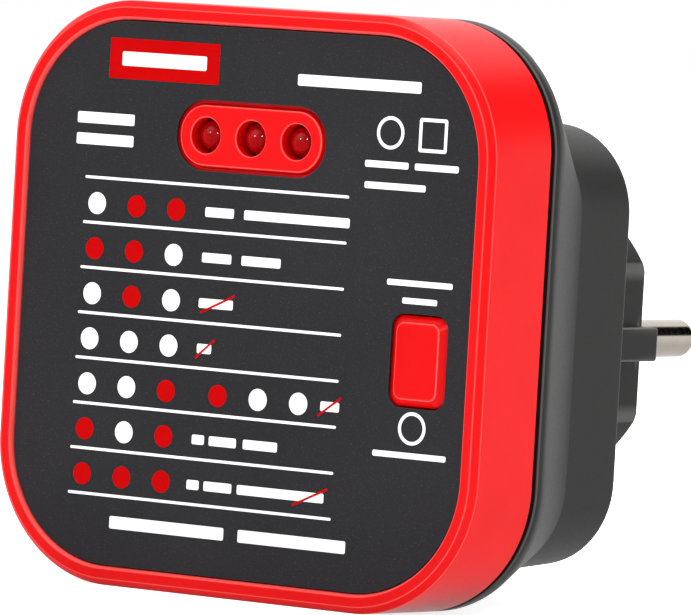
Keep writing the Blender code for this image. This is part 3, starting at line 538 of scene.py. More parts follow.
def moulded(name, colour, roughness, grain_size, grain_height, fleck_and_edge_highlight_colour, edge_wear_and_highlight, specular=0.5):
    """Moulded plastic: cloudy colour, eroded grain, uneven gloss, and paler edges that are a painted
    highlight with some edge wear. Sizes in metres.
    """
    material, tree, shader, place = start_material(name)
    cloud = noise(tree, place, 60.0)
    grain = noise(tree, place, 1.0 / grain_size, 4.0, 0.6)
    body = ramp(tree, cloud, [(0.3, lit(colour, 0.94)), (0.7, lit(colour, 1.05))])
    flecks = spread(tree, grain, 0.0, 0.04, 0.62, 0.75)
    body = blend_colours(tree, flecks, body, (*fleck_and_edge_highlight_colour, 1.0))
    # Paler outward edges: a painted highlight along the small rounds, with some edge wear.
    body = blend_colours(tree, edge_highlight_share(tree, edge_wear_and_highlight), body, (*fleck_and_edge_highlight_colour, 1.0))
    tree.links.new(body, shader.inputs["Base Color"])
    uneven = noise(tree, place, 0.5 / grain_size, 3.0)
    tree.links.new(
        spread(tree, uneven, roughness - 0.03, roughness + 0.03), shader.inputs["Roughness"]
    )
    bump = add_node(tree, "ShaderNodeBump", Strength=0.6, Distance=grain_height, Height=grain)
    tree.links.new(bump.outputs["Normal"], shader.inputs["Normal"])
    shader.inputs["Specular IOR Level"].default_value = specular
    return material


def label_film(name):
    """The printed overlay: charcoal, fine speckle, a painted highlight on its cut edges, a soft satin bump.
    """
    material, tree, shader, place = start_material(name)
    grain = noise(tree, place, 5200.0, 2.0, 0.5)
    cloud = noise(tree, place, 45.0)
    body = ramp(tree, cloud, [(0.3, (0.0138, 0.0128, 0.0150)), (0.7, (0.0172, 0.0162, 0.0186))])
    speck = spread(tree, grain, 0.0, 0.6, 0.60, 0.76)
    body = blend_colours(tree, speck, body, (0.085, 0.09, 0.11, 1.0))
    # Paler cut edges: a painted highlight.
    body = blend_colours(tree, edge_highlight_share(tree, 0.25), body, (0.06, 0.06, 0.07, 1.0))
    tree.links.new(body, shader.inputs["Base Color"])
    tree.links.new(spread(tree, grain, 0.46, 0.60), shader.inputs["Roughness"])
    bump = add_node(tree, "ShaderNodeBump", Strength=0.5, Distance=0.006 * MM, Height=grain)
    tree.links.new(bump.outputs["Normal"], shader.inputs["Normal"])
    shader.inputs["Specular IOR Level"].default_value = 0.22
    return material


def ink(name, colour):
    material, tree, shader, place = start_material(name)
    grain = noise(tree, place, 3500.0, 2.0)
    body = ramp(tree, grain, [(0.3, lit(colour, 0.93)), (0.6, colour)])
    tree.links.new(body, shader.inputs["Base Color"])
    tree.links.new(spread(tree, grain, 0.40, 0.55), shader.inputs["Roughness"])
    shader.inputs["Specular IOR Level"].default_value = 0.03
    return material


def lens(name):
    """Deep red clear resin."""
    material, tree, shader, place = start_material(name)
    cloud = noise(tree, place, 900.0, 2.0)
    body = ramp(tree, cloud, [(0.3, (0.24, 0.0, 0.001)), (0.7, (0.34, 0.0, 0.001))])
    tree.links.new(body, shader.inputs["Base Color"])
    tree.links.new(spread(tree, cloud, 0.03, 0.07), shader.inputs["Roughness"])
    shader.inputs["Specular IOR Level"].default_value = 0.3
    return material


def metal(name, colour, roughness, tarnish=(0.3, 0.25, 0.2)):
    """Drawn or turned metal: fine rings along Y, a little tarnish in patches and brighter edges that are a
    painted highlight.
    """
    material, tree, shader, place = start_material(name)
    stretch = add_node(tree, "ShaderNodeMapping", Vector=place, Scale=(300.0, 9000.0, 300.0))
    lines = noise(tree, stretch.outputs["Vector"], 1.0, 2.0)
    cloud = noise(tree, place, 350.0)
    body = ramp(tree, cloud, [(0.35, lit(colour, 0.93)), (0.65, colour)])
    patches = spread(tree, cloud, 0.0, 0.20, 0.60, 0.78)
    body = blend_colours(tree, patches, body, (*tarnish, 1.0))
    # Brighter edges: a painted highlight, a lighter copy of the metal's colour.
    body = blend_colours(tree, edge_highlight_share(tree, 0.35), body, (*lit(colour, 1.2), 1.0))
    tree.links.new(body, shader.inputs["Base Color"])
    tree.links.new(spread(tree, lines, roughness - 0.05, roughness + 0.08), shader.inputs["Roughness"])
    shader.inputs["Metallic"].default_value = 1.0
    bump = add_node(tree, "ShaderNodeBump", Strength=0.25, Distance=0.004 * MM, Height=lines)
    tree.links.new(bump.outputs["Normal"], shader.inputs["Normal"])
    return material


def circuit_board(name):
    """Green solder mask over copper tracks and plated pads."""
    material, tree, shader, place = start_material(name)
    flat = add_node(tree, "ShaderNodeMapping", Vector=place, Rotation=(math.pi / 2, 0.0, 0.0))
    tracks = add_node(
        tree,
        "ShaderNodeTexBrick",
        {"offset": 0.35},
        Vector=flat.outputs["Vector"],
        Scale=220.0,
        Color1=(0.012, 0.11, 0.05, 1.0),
        Color2=(0.016, 0.15, 0.065, 1.0),
        Mortar=(0.03, 0.26, 0.10, 1.0),
        Mortar_Size=0.03,
    )
    grain = noise(tree, place, 2500.0)
    body = blend_colours(
        tree, spread(tree, grain, 0.0, 0.3), tracks.outputs["Color"], (0.01, 0.09, 0.04, 1.0)
    )
    tree.links.new(body, shader.inputs["Base Color"])
    tree.links.new(spread(tree, grain, 0.25, 0.4), shader.inputs["Roughness"])
    height = tracks.outputs["Fac"]
    bump = add_node(tree, "ShaderNodeBump", Strength=0.5, Distance=0.03 * MM, Height=height)
    tree.links.new(bump.outputs["Normal"], shader.inputs["Normal"])
    return material


def banded(name, node, body_colour, lead_colour, bands, half_length):
    """A part lying along X with painted bands round it, and tinned leads beyond its ends."""
    material, tree, shader, place = start_material(name)
    split = add_node(tree, "ShaderNodeSeparateXYZ", Vector=place)
    centre = middle(node).x
    along = spread(
        tree, split.outputs["X"], 0.0, 1.0, centre - 1.5 * half_length, centre + 1.5 * half_length
    )
    stops = [(0.0, lead_colour), (1 / 6, body_colour)]
    for position, colour in bands:
        stops += [(position, colour), (position + 0.035, body_colour)]
    stops.append((5 / 6, lead_colour))
    body = ramp(tree, along, stops, "CONSTANT")
    grain = noise(tree, place, 2600.0)
    body = blend_colours(tree, spread(tree, grain, 0.0, 0.12), body, (0.9, 0.88, 0.85, 1.0))
    tree.links.new(body, shader.inputs["Base Color"])
    tree.links.new(spread(tree, grain, 0.32, 0.48), shader.inputs["Roughness"])
    bump = add_node(tree, "ShaderNodeBump", Strength=0.4, Distance=0.02 * MM, Height=grain)
    tree.links.new(bump.outputs["Normal"], shader.inputs["Normal"])
    return material


def striped(name, first, second):
    """Two-colour insulation with stripes that wind along Y."""
    material, tree, shader, place = start_material(name)
    wave = add_node(
        tree, "ShaderNodeTexWave", {"bands_direction": "Y"}, Vector=place, Scale=90.0, Distortion=1.5
    )
    body = ramp(tree, wave.outputs["Fac"], [(0.0, first), (0.62, second)], "CONSTANT")
    tree.links.new(body, shader.inputs["Base Color"])
    grain = noise(tree, place, 2000.0)
    tree.links.new(spread(tree, grain, 0.38, 0.52), shader.inputs["Roughness"])
    return material


def paper_white(name):
    """The studio floor: pale, with a barely visible mottle."""
    material, tree, shader, place = start_material(name)
    cloud = noise(tree, place, 3.0)
    body = ramp(tree, cloud, [(0.3, (0.93, 0.93, 0.93)), (0.7, (0.96, 0.96, 0.96))])
    tree.links.new(body, shader.inputs["Base Color"])
    shader.inputs["Roughness"].default_value = 0.9
    shader.inputs["Specular IOR Level"].default_value = 0.1
    seen = tree.nodes.new("ShaderNodeLightPath").outputs["Is Camera Ray"]
    tree.links.new(spread(tree, seen, 0.0, FLOOR_GLOW, 0.0, 1.0), shader.inputs["Emission Strength"])
    shader.inputs["Emission Color"].default_value = (1.0, 1.0, 1.0, 1.0)
    return material


# ---- Front cover ----


def rim_edge():
    """(along Y, inset) of the rim's outer edge: a shallow chamfer with tighter rounds at both its sides."""
    path = [(0.0, 0.0)]
    for length, degrees in RIM_EDGE_TURNS:
        along, inward = path[-1]
        turn = math.radians(degrees)
        path.append((along + length * math.sin(turn), inward + length * math.cos(turn)))
    scale = RIM_FLAT_END / path[-1][1]
    return [(along * scale, RIM_FLAT_END - inward * scale) for along, inward in path]


def cover_rings():
    """From the floor under the label, over the rim and down the skirt, to the inside of the floor."""
    rings = [
        (FLOOR_Y, face_outline(RIM_WIDTH)),
        (OVERLAY_Y, face_outline(RIM_WIDTH)),
        (OVERLAY_Y + (RIM_Y - OVERLAY_Y) * 0.66, face_outline(RIM_FLAT_START + 0.16 * MM)),
        (OVERLAY_Y + (RIM_Y - OVERLAY_Y) * 0.88, face_outline(RIM_FLAT_START + 0.07 * MM)),
        (OVERLAY_Y + (RIM_Y - OVERLAY_Y) * 0.97, face_outline(RIM_FLAT_START)),
        (RIM_Y, face_outline(RIM_FLAT_START - 0.08 * MM)),
        (RIM_Y, face_outline(RIM_FLAT_START - 0.08 * MM - SUPPORT)),
        (RIM_Y, face_outline(RIM_FLAT_END + SUPPORT)),
    ]
    edge = rim_edge()
    rings += [(RIM_Y + along, face_outline(inset)) for along, inset in edge]
    skirt_start = RIM_Y + edge[-1][0] + SUPPORT
    skirt_end = COVER_REAR_Y - 2 * SOFT_EDGE
    rings.append((skirt_start, face_outline(0)))
    for i in range(1, 5):
        rings.append((skirt_start + (skirt_end - skirt_start) * i / 4, face_outline(0, i / 4)))
    for along, inset in round_steps(2 * SOFT_EDGE, 4)[::-1]:
        rings.append((COVER_REAR_Y - along, skirt_outline(2 * SOFT_EDGE - inset)))
    return rings


def cover_rear_rings():
    return [(COVER_REAR_Y, skirt_outline(COVER_WALL)), (INSIDE_Y, skirt_outline(COVER_WALL))]


def lamp_places():
    return [(middle(f"indicator_led_{side}").x, window_z()) for side in ("left", "centre", "right")]


def case_screw_places():
    return [(middle(f"case_screw_{i}").x, middle(f"case_screw_{i}").z) for i in range(1, 5)]


def board_screw_places():
    return [(middle(f"board_screw_{i}").x, middle(f"board_screw_{i}").z) for i in (1, 2)]


def add_lamp_window(builder):
    """The raised island round the lamps. Returns its foot on the floor, and the lamp holes' inner ends."""
    slope_start = WINDOW_MOAT
    slope_end = WINDOW_MOAT + WINDOW_SLOPE
    foot, top = sleeve(
        builder,
        [
            (FLOOR_Y, window_outline(slope_start)),
            (OVERLAY_Y + 2 * SOFT_EDGE, window_outline(slope_end - 0.05 * MM)),
            (OVERLAY_Y + SOFT_EDGE * 0.7, window_outline(slope_end)),
            (OVERLAY_Y + SOFT_EDGE * 0.2, window_outline(slope_end + SOFT_EDGE * 0.4)),
            (OVERLAY_Y, window_outline(slope_end + SOFT_EDGE)),
            (OVERLAY_Y, window_outline(slope_end + SOFT_EDGE + SUPPORT)),
        ],
    )
    mouths = []
    ends = []
    for x, z in lamp_places():
        profile = [(OVERLAY_Y, LAMP_HOLE + LAMP_HOLE_ROUND + SUPPORT)]
        for along, inward in round_steps(LAMP_HOLE_ROUND)[::-1]:
            profile.append((OVERLAY_Y + along, LAMP_HOLE + inward))
        profile.append((INSIDE_Y, LAMP_HOLE))
        mouth, end = sleeve(builder, turned_rings(profile, x, z))
        mouths.append(mouth)
        ends.append(end)
    cap(builder, top, *mouths)
    return foot, ends


def add_cover_post(builder, x, z, profile, hole_radius, hole_depth):
    """A hollow screw post on the inside of the floor. Returns its foot."""
    foot, end = sleeve(builder, turned_rings(profile, x, z, SMALL_STEPS))
    end_y = profile[-1][0]
    mouth, bottom = sleeve(
        builder, turned_rings([(end_y, hole_radius), (end_y - hole_depth, hole_radius)], x, z, SMALL_STEPS)
    )
    bridge(builder, end, mouth)
    builder.faces.new(bottom)
    return foot


def make_cover(material):
    builder = bmesh.new()
    floor_edge, skirt_edge = sleeve(builder, cover_rings())
    rear, inside_edge = sleeve(builder, cover_rear_rings())
    bridge(builder, skirt_edge, rear)
    window_foot, lamp_ends = add_lamp_window(builder)
    button_front, button_rear = sleeve(
        builder, [(FLOOR_Y, button_outline(BUTTON_GAP)), (INSIDE_Y, button_outline(BUTTON_GAP))]
    )
    cap(builder, floor_edge, window_foot, button_front)
    board_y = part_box("main_board")[0].y
    feet = []
    for x, z in case_screw_places():
        profile = [
            (INSIDE_Y, CASE_POST_FOOT),
            (board_y - 0.3 * MM, CASE_POST_FOOT),
            (board_y - 0.2 * MM, CASE_POST_RADIUS),
            (SHELL_HIGH.y, CASE_POST_RADIUS),
        ]
        feet.append(add_cover_post(builder, x, z, profile, CASE_HOLE, 9.0 * MM))
    for x, z in board_screw_places():
        profile = [(INSIDE_Y, BOARD_POST_RADIUS), (board_y - 0.3 * MM, BOARD_POST_RADIUS)]
        feet.append(add_cover_post(builder, x, z, profile, BOARD_POST_HOLE, 3.0 * MM))
    cap(builder, inside_edge, button_rear, *lamp_ends, *feet)
    add_piece("front_cover", builder, [material], "tester", ["front_shell"])


def edge_pairs(start_y, radius):
    """(y, inset) of a small rounded front edge, from its flat to its wall."""
    return [(start_y + along, inward) for along, inward in round_steps(radius, 3)][::-1]


def make_label(material):
    """The overlay, with its cut edges just broken."""
    builder = bmesh.new()
    break_edge = SOFT_EDGE / 2
    pairs = [(OVERLAY_Y, break_edge + SUPPORT)] + edge_pairs(OVERLAY_Y, break_edge) + [(LABEL_REAR_Y, 0.0)]
    outer = sleeve(builder, [(y, face_outline(LABEL_INSET + inset)) for y, inset in pairs])
    window = sleeve(builder, [(y, window_outline(-inset)) for y, inset in pairs])
    hole = sleeve(builder, [(y, button_outline(BUTTON_GAP + inset)) for y, inset in pairs])
    for end in (0, 1):
        cap(builder, outer[end], window[end], hole[end])
    add_piece("label_overlay", builder, [material], "tester", ["front_label"])


# ---- Print ----


def on_label(points):
    """Millimetres from the label's middle to places in the row frame."""
    return [(x * MM, z * MM + FACE_RISE) for x, z in points]


def add_mark(builder, outline):
    """A thin printed patch, just proud of the label."""
    places = on_label(outline)
    front, rear = sleeve(builder, [(OVERLAY_Y - INK, places), (OVERLAY_Y + INK, places)])
    builder.faces.new(front)
    builder.faces.new(rear)


def add_line_mark(builder, outer, inner):
    """A printed outline between two loops of equal length."""
    rings = [(OVERLAY_Y - INK, on_label(outer)), (OVERLAY_Y + INK, on_label(outer))]
    front_outer, rear_outer = sleeve(builder, rings)
    rings = [(OVERLAY_Y - INK, on_label(inner)), (OVERLAY_Y + INK, on_label(inner))]
    front_inner, rear_inner = sleeve(builder, rings)
    bridge(builder, front_outer, front_inner)
    bridge(builder, rear_outer, rear_inner)


def bar_outline(start, end, z, height, corner=0.22):
    return rounded_box((end - start) / 2, height / 2, corner, (start + end) / 2, z, 5)


def stroke_outline(start, end, z):
    """A slanted stroke across a word."""
    direction = Vector((end - start, STROKE_RISE)).normalized()
    across = Vector((-direction.y, direction.x)) * STROKE_THICK / 2
    low = Vector((start, z - STROKE_RISE / 2))
    high = Vector((end, z + STROKE_RISE / 2))
    return [tuple(low - across), tuple(high - across), tuple(high + across), tuple(low + across)]


def row_z(row):
    return FIRST_DOT_Z - row * ROW_PITCH


def make_print(white_ink, red_ink):
    white = bmesh.new()
    red = bmesh.new()
    builders = {"W": white, "R": red}
    for line in range(len(DOT_ROWS) + 1):
        z = FIRST_LINE_Z - line * ROW_PITCH
        add_mark(white, bar_outline(LINE_START, LINE_END, z, LINE_THICK, LINE_THICK / 2 - 0.01))
    groups = [(row, FIRST_DOT_X, dots) for row, dots in enumerate(DOT_ROWS)]
    groups.append((SECOND_DOT_ROW, SECOND_DOT_X, SECOND_DOTS))
    for row, start, dots in groups:
        for number, colour in enumerate(dots):
            outline = circle(DOT_RADIUS, start + number * DOT_PITCH, row_z(row), SMALL_STEPS)
            add_mark(builders[colour], outline)
    for row, words in enumerate(ROW_WORDS):
        for start, end in words:
            add_mark(white, bar_outline(start, end, row_z(row), ROW_BAR))
    for start, end, z, height in OTHER_WORDS:
        add_mark(white, bar_outline(start, end, z, height))
    add_mark(red, bar_outline(*PLATE, 0.05))
    for x, z in RING_MARKS:
        add_line_mark(
            white,
            circle(RING_RADIUS, x, z, SMALL_STEPS),
            circle(RING_RADIUS - MARK_STROKE, x, z, SMALL_STEPS),
        )
    inner_half = FRAME_HALF - MARK_STROKE
    add_line_mark(
        white,
        rounded_box(FRAME_HALF, FRAME_HALF, 0.3, *FRAME_MARK, 4),
        rounded_box(inner_half, inner_half, 0.1, *FRAME_MARK, 4),
    )
    add_piece("print_white", white, [white_ink], "tester")
    add_piece("print_red", red, [red_ink], "tester")
    over_white = bmesh.new()
    add_mark(over_white, bar_outline(*PLATE_BAR))
    bmesh.ops.translate(over_white, verts=over_white.verts, vec=(0, -INK / 2, 0))
    add_piece("print_plate_bar", over_white, [white_ink], "tester")
    over_red = bmesh.new()
    for row, start, end in STRUCK_WORDS:
        add_mark(over_red, stroke_outline(start, end, row_z(row)))
    bmesh.ops.translate(over_red, verts=over_red.verts, vec=(0, -INK / 2, 0))
    add_piece("print_strokes", over_red, [red_ink], "tester")


# ---- Lamps and button ----


def make_lamps(lens_material, leg_material):
    for side, (x, z) in zip(("left", "centre", "right"), lamp_places()):
        node = f"indicator_led_{side}"
        low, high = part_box(node)
        base_y = low.y + LED_LENGTH
        tip_y = low.y - LED_FORWARD
        builder = bmesh.new()
        profile = []
        for i in range(13):
            angle = math.pi / 2 * i / 12
            radius = max(LED_DOME * math.sin(angle), 0.02 * MM)
            profile.append((tip_y + LED_DOME_HEIGHT * (1 - math.cos(angle)), radius))
        barrel_y = tip_y + LED_DOME_HEIGHT + LED_BARREL_LENGTH
        profile += [(barrel_y, LED_DOME), (barrel_y, LED_RADIUS), (base_y, LED_RADIUS)]
        add_turned(builder, profile, x, z, 48)
        resin = len(builder.faces)
        for offset in (-LED_LEG_PITCH / 2, LED_LEG_PITCH / 2):
            leg_low = (x + offset - LED_LEG / 2, base_y, z - LED_LEG / 2)
            leg_high = (x + offset + LED_LEG / 2, high.y, z + LED_LEG / 2)
            add_block(builder, leg_low, leg_high)
        builder.faces.ensure_lookup_table()
        for face in builder.faces[resin:]:
            face.material_index = 1
        add_piece(f"lamp_{side}", builder, [lens_material, leg_material], "tester", [node])


def make_button(material):
    """The cap: a just crowned face, a small round, sloped walls, and the flange that keeps it in."""
    face_x = BUTTON_HALF_X - BUTTON_FACE_INSET
    face_z = BUTTON_HALF_Z - BUTTON_FACE_INSET
    face_corner = BUTTON_CORNER - 0.5 * BUTTON_FACE_INSET

    def face_ring(share):
        return rounded_box(
            face_x * share, face_z * share, face_corner * share, BUTTON_X, BUTTON_Z, CORNER_STEPS // 2
        )

    flat_share = 1 - (BUTTON_ROUND + SUPPORT) / face_x
    rings = [(BUTTON_Y + BUTTON_CROWN * share**2, face_ring(share)) for share in (0.2, 0.45, 0.7, flat_share)]
    for along, inward in round_steps(BUTTON_ROUND)[::-1]:
        rings.append((BUTTON_Y + BUTTON_CROWN + along, face_ring(1 - inward / face_x)))
    slope_end = BUTTON_Y + BUTTON_SLOPE
    rings += [
        (slope_end, button_outline(0)),
        (BUTTON_FLANGE_Y, button_outline(0)),
        (BUTTON_FLANGE_Y, button_outline(BUTTON_FLANGE)),
        (BUTTON_REAR_Y, button_outline(BUTTON_FLANGE)),
    ]
    builder = bmesh.new()
    front, rear = sleeve(builder, rings)
    builder.faces.new(front)
    builder.faces.new(rear)
    add_piece("button_cap", builder, [material], "button", ["test_button"])


# ---- Rear housing ----


def housing_profile():
    """Rings from the groove behind the cover to the flat of the rear face."""
    rings = [(BAND_Y, skirt_outline(TONGUE_INSET)), (BAND_Y, skirt_outline(2 * SOFT_EDGE + SUPPORT))]
    for along, inset in round_steps(2 * SOFT_EDGE, 4)[::-1]:
        rings.append((BAND_Y + along, skirt_outline(inset)))
    rings += [(BAND_Y + 4 * SOFT_EDGE, skirt_outline(0)), (TAPER_Y - SUPPORT, skirt_outline(0))]
    taper = list(zip(skirt_outline(0), box_outline(BOX_FRONT_HALF, BOX_FRONT_CORNER, 0)))
    for share in (0.012, 0.35, 0.7, 0.99):
        outline = [
            (a[0] + (b[0] - a[0]) * share, a[1] + (b[1] - a[1]) * share) for a, b in taper
        ]
        rings.append((TAPER_Y + (BOX_Y - TAPER_Y) * share, outline))
    length = BOX_REAR_Y - BOX_Y
    for share in (0.015, 0.5, 0.92):
        half = BOX_FRONT_HALF + (BOX_REAR_HALF - BOX_FRONT_HALF) * share
        corner = BOX_FRONT_CORNER + (BOX_REAR_CORNER - BOX_FRONT_CORNER) * share
        rings.append((BOX_Y + length * share, box_outline(half, corner, 0)))
    for along, inset in round_steps(BOX_ROUND):
        rings.append((BOX_REAR_Y - along, box_outline(BOX_REAR_HALF, BOX_REAR_CORNER, inset)))
    rings.append((BOX_REAR_Y, box_outline(BOX_REAR_HALF, BOX_REAR_CORNER, BOX_ROUND + SUPPORT)))
    return rings


def housing_inside():
    """Rings from the groove's inner edge, over the tongue, to the inside of the rear wall."""
    inner = TONGUE_INSET + TONGUE_WALL
    wall_y = BOX_REAR_Y - HOUSING_WALL
    return [
        (BAND_Y, skirt_outline(TONGUE_INSET)),
        (TONGUE_Y + SOFT_EDGE, skirt_outline(TONGUE_INSET)),
        (TONGUE_Y, skirt_outline(TONGUE_INSET + SOFT_EDGE)),
        (TONGUE_Y, skirt_outline(inner)),
        (TAPER_Y, skirt_outline(inner)),
        (BOX_Y, box_outline(BOX_FRONT_HALF, BOX_FRONT_CORNER, HOUSING_WALL)),
        (wall_y, box_outline(BOX_REAR_HALF, BOX_REAR_CORNER, HOUSING_WALL)),
    ]


def plug_opening(grow):
    return flatted_circle(PLUG_RADIUS + 0.3 * MM + grow, PLUG_FLAT + 0.3 * MM + grow)


def flatted_circle(radius, flat):
    """A circle with a flat on its left and right."""
    angle = math.acos(flat / radius)
    top = arc(0, 0, radius, angle, math.pi - angle, HOLE_STEPS)
    bottom = arc(0, 0, radius, math.pi + angle, 2 * math.pi - angle, HOLE_STEPS)
    return top + bottom


def make_housing(material):
    builder = bmesh.new()
    _, rear_edge = sleeve(builder, housing_profile())
    _, inside_edge = sleeve(builder, housing_inside())
    wall_y = BOX_REAR_Y - HOUSING_WALL
    opening = sleeve(
        builder,
        [
            (BOX_REAR_Y, plug_opening(SOFT_EDGE + SUPPORT)),
            (BOX_REAR_Y, plug_opening(SOFT_EDGE)),
            (BOX_REAR_Y - SOFT_EDGE, plug_opening(0)),
            (wall_y, plug_opening(0)),
        ],
    )
    well_mouths = []
    tube_feet = []
    for x, z in case_screw_places():
        profile = [
            (BOX_REAR_Y, WELL_HOLE + 2 * SOFT_EDGE + SUPPORT),
            (BOX_REAR_Y, WELL_HOLE + 2 * SOFT_EDGE),
            (BOX_REAR_Y - SOFT_EDGE, WELL_HOLE + 0.5 * SOFT_EDGE),
            (BOX_REAR_Y - 2 * SOFT_EDGE, WELL_HOLE),
            (WELL_FLOOR_Y, WELL_HOLE),
            (WELL_FLOOR_Y, CASE_HOLE),
            (WELL_FLOOR_Y - WELL_BOTTOM, CASE_HOLE),
            (WELL_FLOOR_Y - WELL_BOTTOM, WELL_TUBE),
            (wall_y, WELL_TUBE),
        ]
        mouth, foot = sleeve(builder, turned_rings(profile, x, z, 48))
        well_mouths.append(mouth)
        tube_feet.append(foot)
    post_end_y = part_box("plug_body")[0].y + FLANGE_THICK + 0.3 * MM
    for side in (-1, 1):
        profile = [(wall_y, PLUG_POST_RADIUS), (post_end_y, PLUG_POST_RADIUS), (post_end_y, PLUG_POST_HOLE)]
        profile.append((wall_y, PLUG_POST_HOLE))
        foot, bottom = sleeve(builder, turned_rings(profile, 0, side * PLUG_POST_Z, SMALL_STEPS))
        builder.faces.new(bottom)
        tube_feet.append(foot)
    cap(builder, rear_edge, opening[0], *well_mouths)
    cap(builder, inside_edge, opening[1], *tube_feet)
    add_piece("housing", builder, [material], "tester", ["rear_housing"])


def make_case_screws(material):
    for number, (x, z) in enumerate(case_screw_places(), 1):
        node = f"case_screw_{number}"
        low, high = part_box(node)
        head_radius = (high.x - low.x) / 2
        seat_y = high.y - SCREW_HEAD_THICK
        builder = bmesh.new()
        add_threaded_screw(builder, x, z, low.y, seat_y, high.y, head_radius)
        screw = add_piece(f"housing_screw_{number}", builder, [material], "tester", [node])
        reach = head_radius * CROSS_REACH
        half = head_radius * CROSS_HALF
        for half_x, half_z in ((reach, half), (half, reach)):

            def add_slot(cutter, x=x, z=z, head_y=high.y, half_x=half_x, half_z=half_z):
                low = (x - half_x, head_y - CROSS_DEPTH, z - half_z)
                add_block(cutter, low, (x + half_x, head_y + CROSS_OVER, z + half_z))

            cut_with(screw, add_slot)


def add_threaded_screw(builder, x, z, tip_y, seat_y, head_y, head_radius):
    """A pan-head screw with a real helical thread, its tip towards -Y."""
    steps = SMALL_STEPS
    levels = int((seat_y - tip_y) / THREAD_PITCH * 8)
    rings = []
    for level in range(levels + 1):
        y = tip_y + (seat_y - tip_y) * level / levels
        grown = min(1.0, (y - tip_y + 0.3 * MM) / (2.0 * MM))
        outline = []
        for i in range(steps):
            angle = 2 * math.pi * i / steps
            phase = ((y - tip_y) / THREAD_PITCH - i / steps) % 1.0
            ridge = THREAD_CREST * max(0.0, 1 - abs(phase - 0.5) * 3.2)
            radius = (THREAD_CORE + ridge) * grown
            outline.append((x + radius * math.cos(angle), z + radius * math.sin(angle)))
        rings.append((y, outline))
    thick = head_y - seat_y
    for share, along in [(1.0, 0.01), (1.0, 0.62), (0.98, 0.74), (0.92, 0.86), (0.80, 0.95), (0.62, 1.0)]:
        rings.append((seat_y + thick * along, circle(head_radius * share, x, z, steps)))
    first, last = sleeve(builder, rings)
    builder.faces.new(first)
    builder.faces.new(last)


# ---- Plug ----


def plug_quarter(inset, rib, channel):
    """The plug's outline from its right middle to its top middle. rib is the rib's own inset, or None."""
    flat = PLUG_FLAT - inset
    radius = PLUG_RADIUS - inset
    points = []
    rib_inset = rib or 0.0
    half = RIB_HALF - rib_inset
    tip = RIB_X - rib_inset
    round_radius = RIB_ROUND / 2
    rib_points = [(tip, 0.0), (tip, half * 0.5)]
    rib_points += arc(tip - round_radius, half - round_radius, round_radius, 0, math.pi / 2, 5)
    rib_points += [(flat + SUPPORT, half), (flat, half)]
    if rib is None:
        rib_points = [(flat, half * i / (len(rib_points) - 1)) for i in range(len(rib_points))]
    points += rib_points
    crease = math.acos(flat / radius)
    crease_z = radius * math.sin(crease)
    for share in (0.3, 0.7, 0.94):
        points.append((flat, half + (crease_z - half) * share))
    start = crease + math.radians(1.6)
    edge_angle = math.acos((CHANNEL_HALF + 0.25 * MM) / radius)
    points += arc(0, 0, radius, start, edge_angle, 36)
    wall_x = CHANNEL_HALF
    floor_z = CHANNEL_FLOOR
    wall_top = math.sqrt(radius**2 - wall_x**2)
    notch = [
        (wall_x + 0.07 * MM, wall_top - 0.08 * MM),
        (wall_x, wall_top - 0.28 * MM),
        (wall_x, floor_z + 0.3 * MM),
        (wall_x - 0.09 * MM, floor_z + 0.09 * MM),
        (wall_x - 0.3 * MM, floor_z),
        (wall_x * 0.45, floor_z),
        (0.0, floor_z),
    ]
    if not channel:
        notch = [
            (wall_x * (1 - i / (len(notch) - 1)), 0.0) for i in range(len(notch))
        ]
        notch = [(x, math.sqrt(radius**2 - x**2)) for x, _ in notch]
    return points + notch


def plug_outline(inset, rib=None, channel=False):
    quarter = plug_quarter(inset, rib, channel)
    top = quarter + [(-x, z) for x, z in quarter[-2::-1]]
    return top + [(-x, -z) for x, z in top[1:-1]]


def ear_flange():
    """The inner flange: a circle with an ear at its top and bottom."""
    points = []
    count = 2 * HOLE_STEPS
    for i in range(count):
        angle = 2 * math.pi * i / count
        from_axis = abs(math.cos(angle))
        radius = FLANGE_RADIUS
        if from_axis < EAR_RADIUS / PLUG_POST_Z:
            along = abs(math.sin(angle)) * PLUG_POST_Z
            reach = along + math.sqrt(EAR_RADIUS**2 - (PLUG_POST_Z * from_axis) ** 2)
            radius = max(radius, reach)
        points.append((radius * math.cos(angle), radius * math.sin(angle)))
    return points


def plug_rings():
    """From the flange's rear side to the flat of the plug's end face."""
    flange_y = FLANGE_FRONT_Y + FLANGE_THICK
    rings = [(flange_y, plug_outline(0)), (RIB_START_Y, plug_outline(0))]
    rings.append((RIB_START_Y, plug_outline(0, 0.0)))
    rings += [(CHANNEL_START_Y, plug_outline(0, 0.0)), (CHANNEL_START_Y, plug_outline(0, 0.0, True))]
    for along, inset in round_steps(RIB_ROUND, 4):
        rings.append((RIB_END_Y - along, plug_outline(0, inset, True)))
    rings.append((RIB_END_Y, plug_outline(0, None, True)))
    for along, inset in round_steps(PLUG_EDGE):
        rings.append((PLUG_FACE_Y - along, plug_outline(inset, None, True)))
    rings.append((PLUG_FACE_Y, plug_outline(PLUG_EDGE + SUPPORT, None, True)))
    return rings


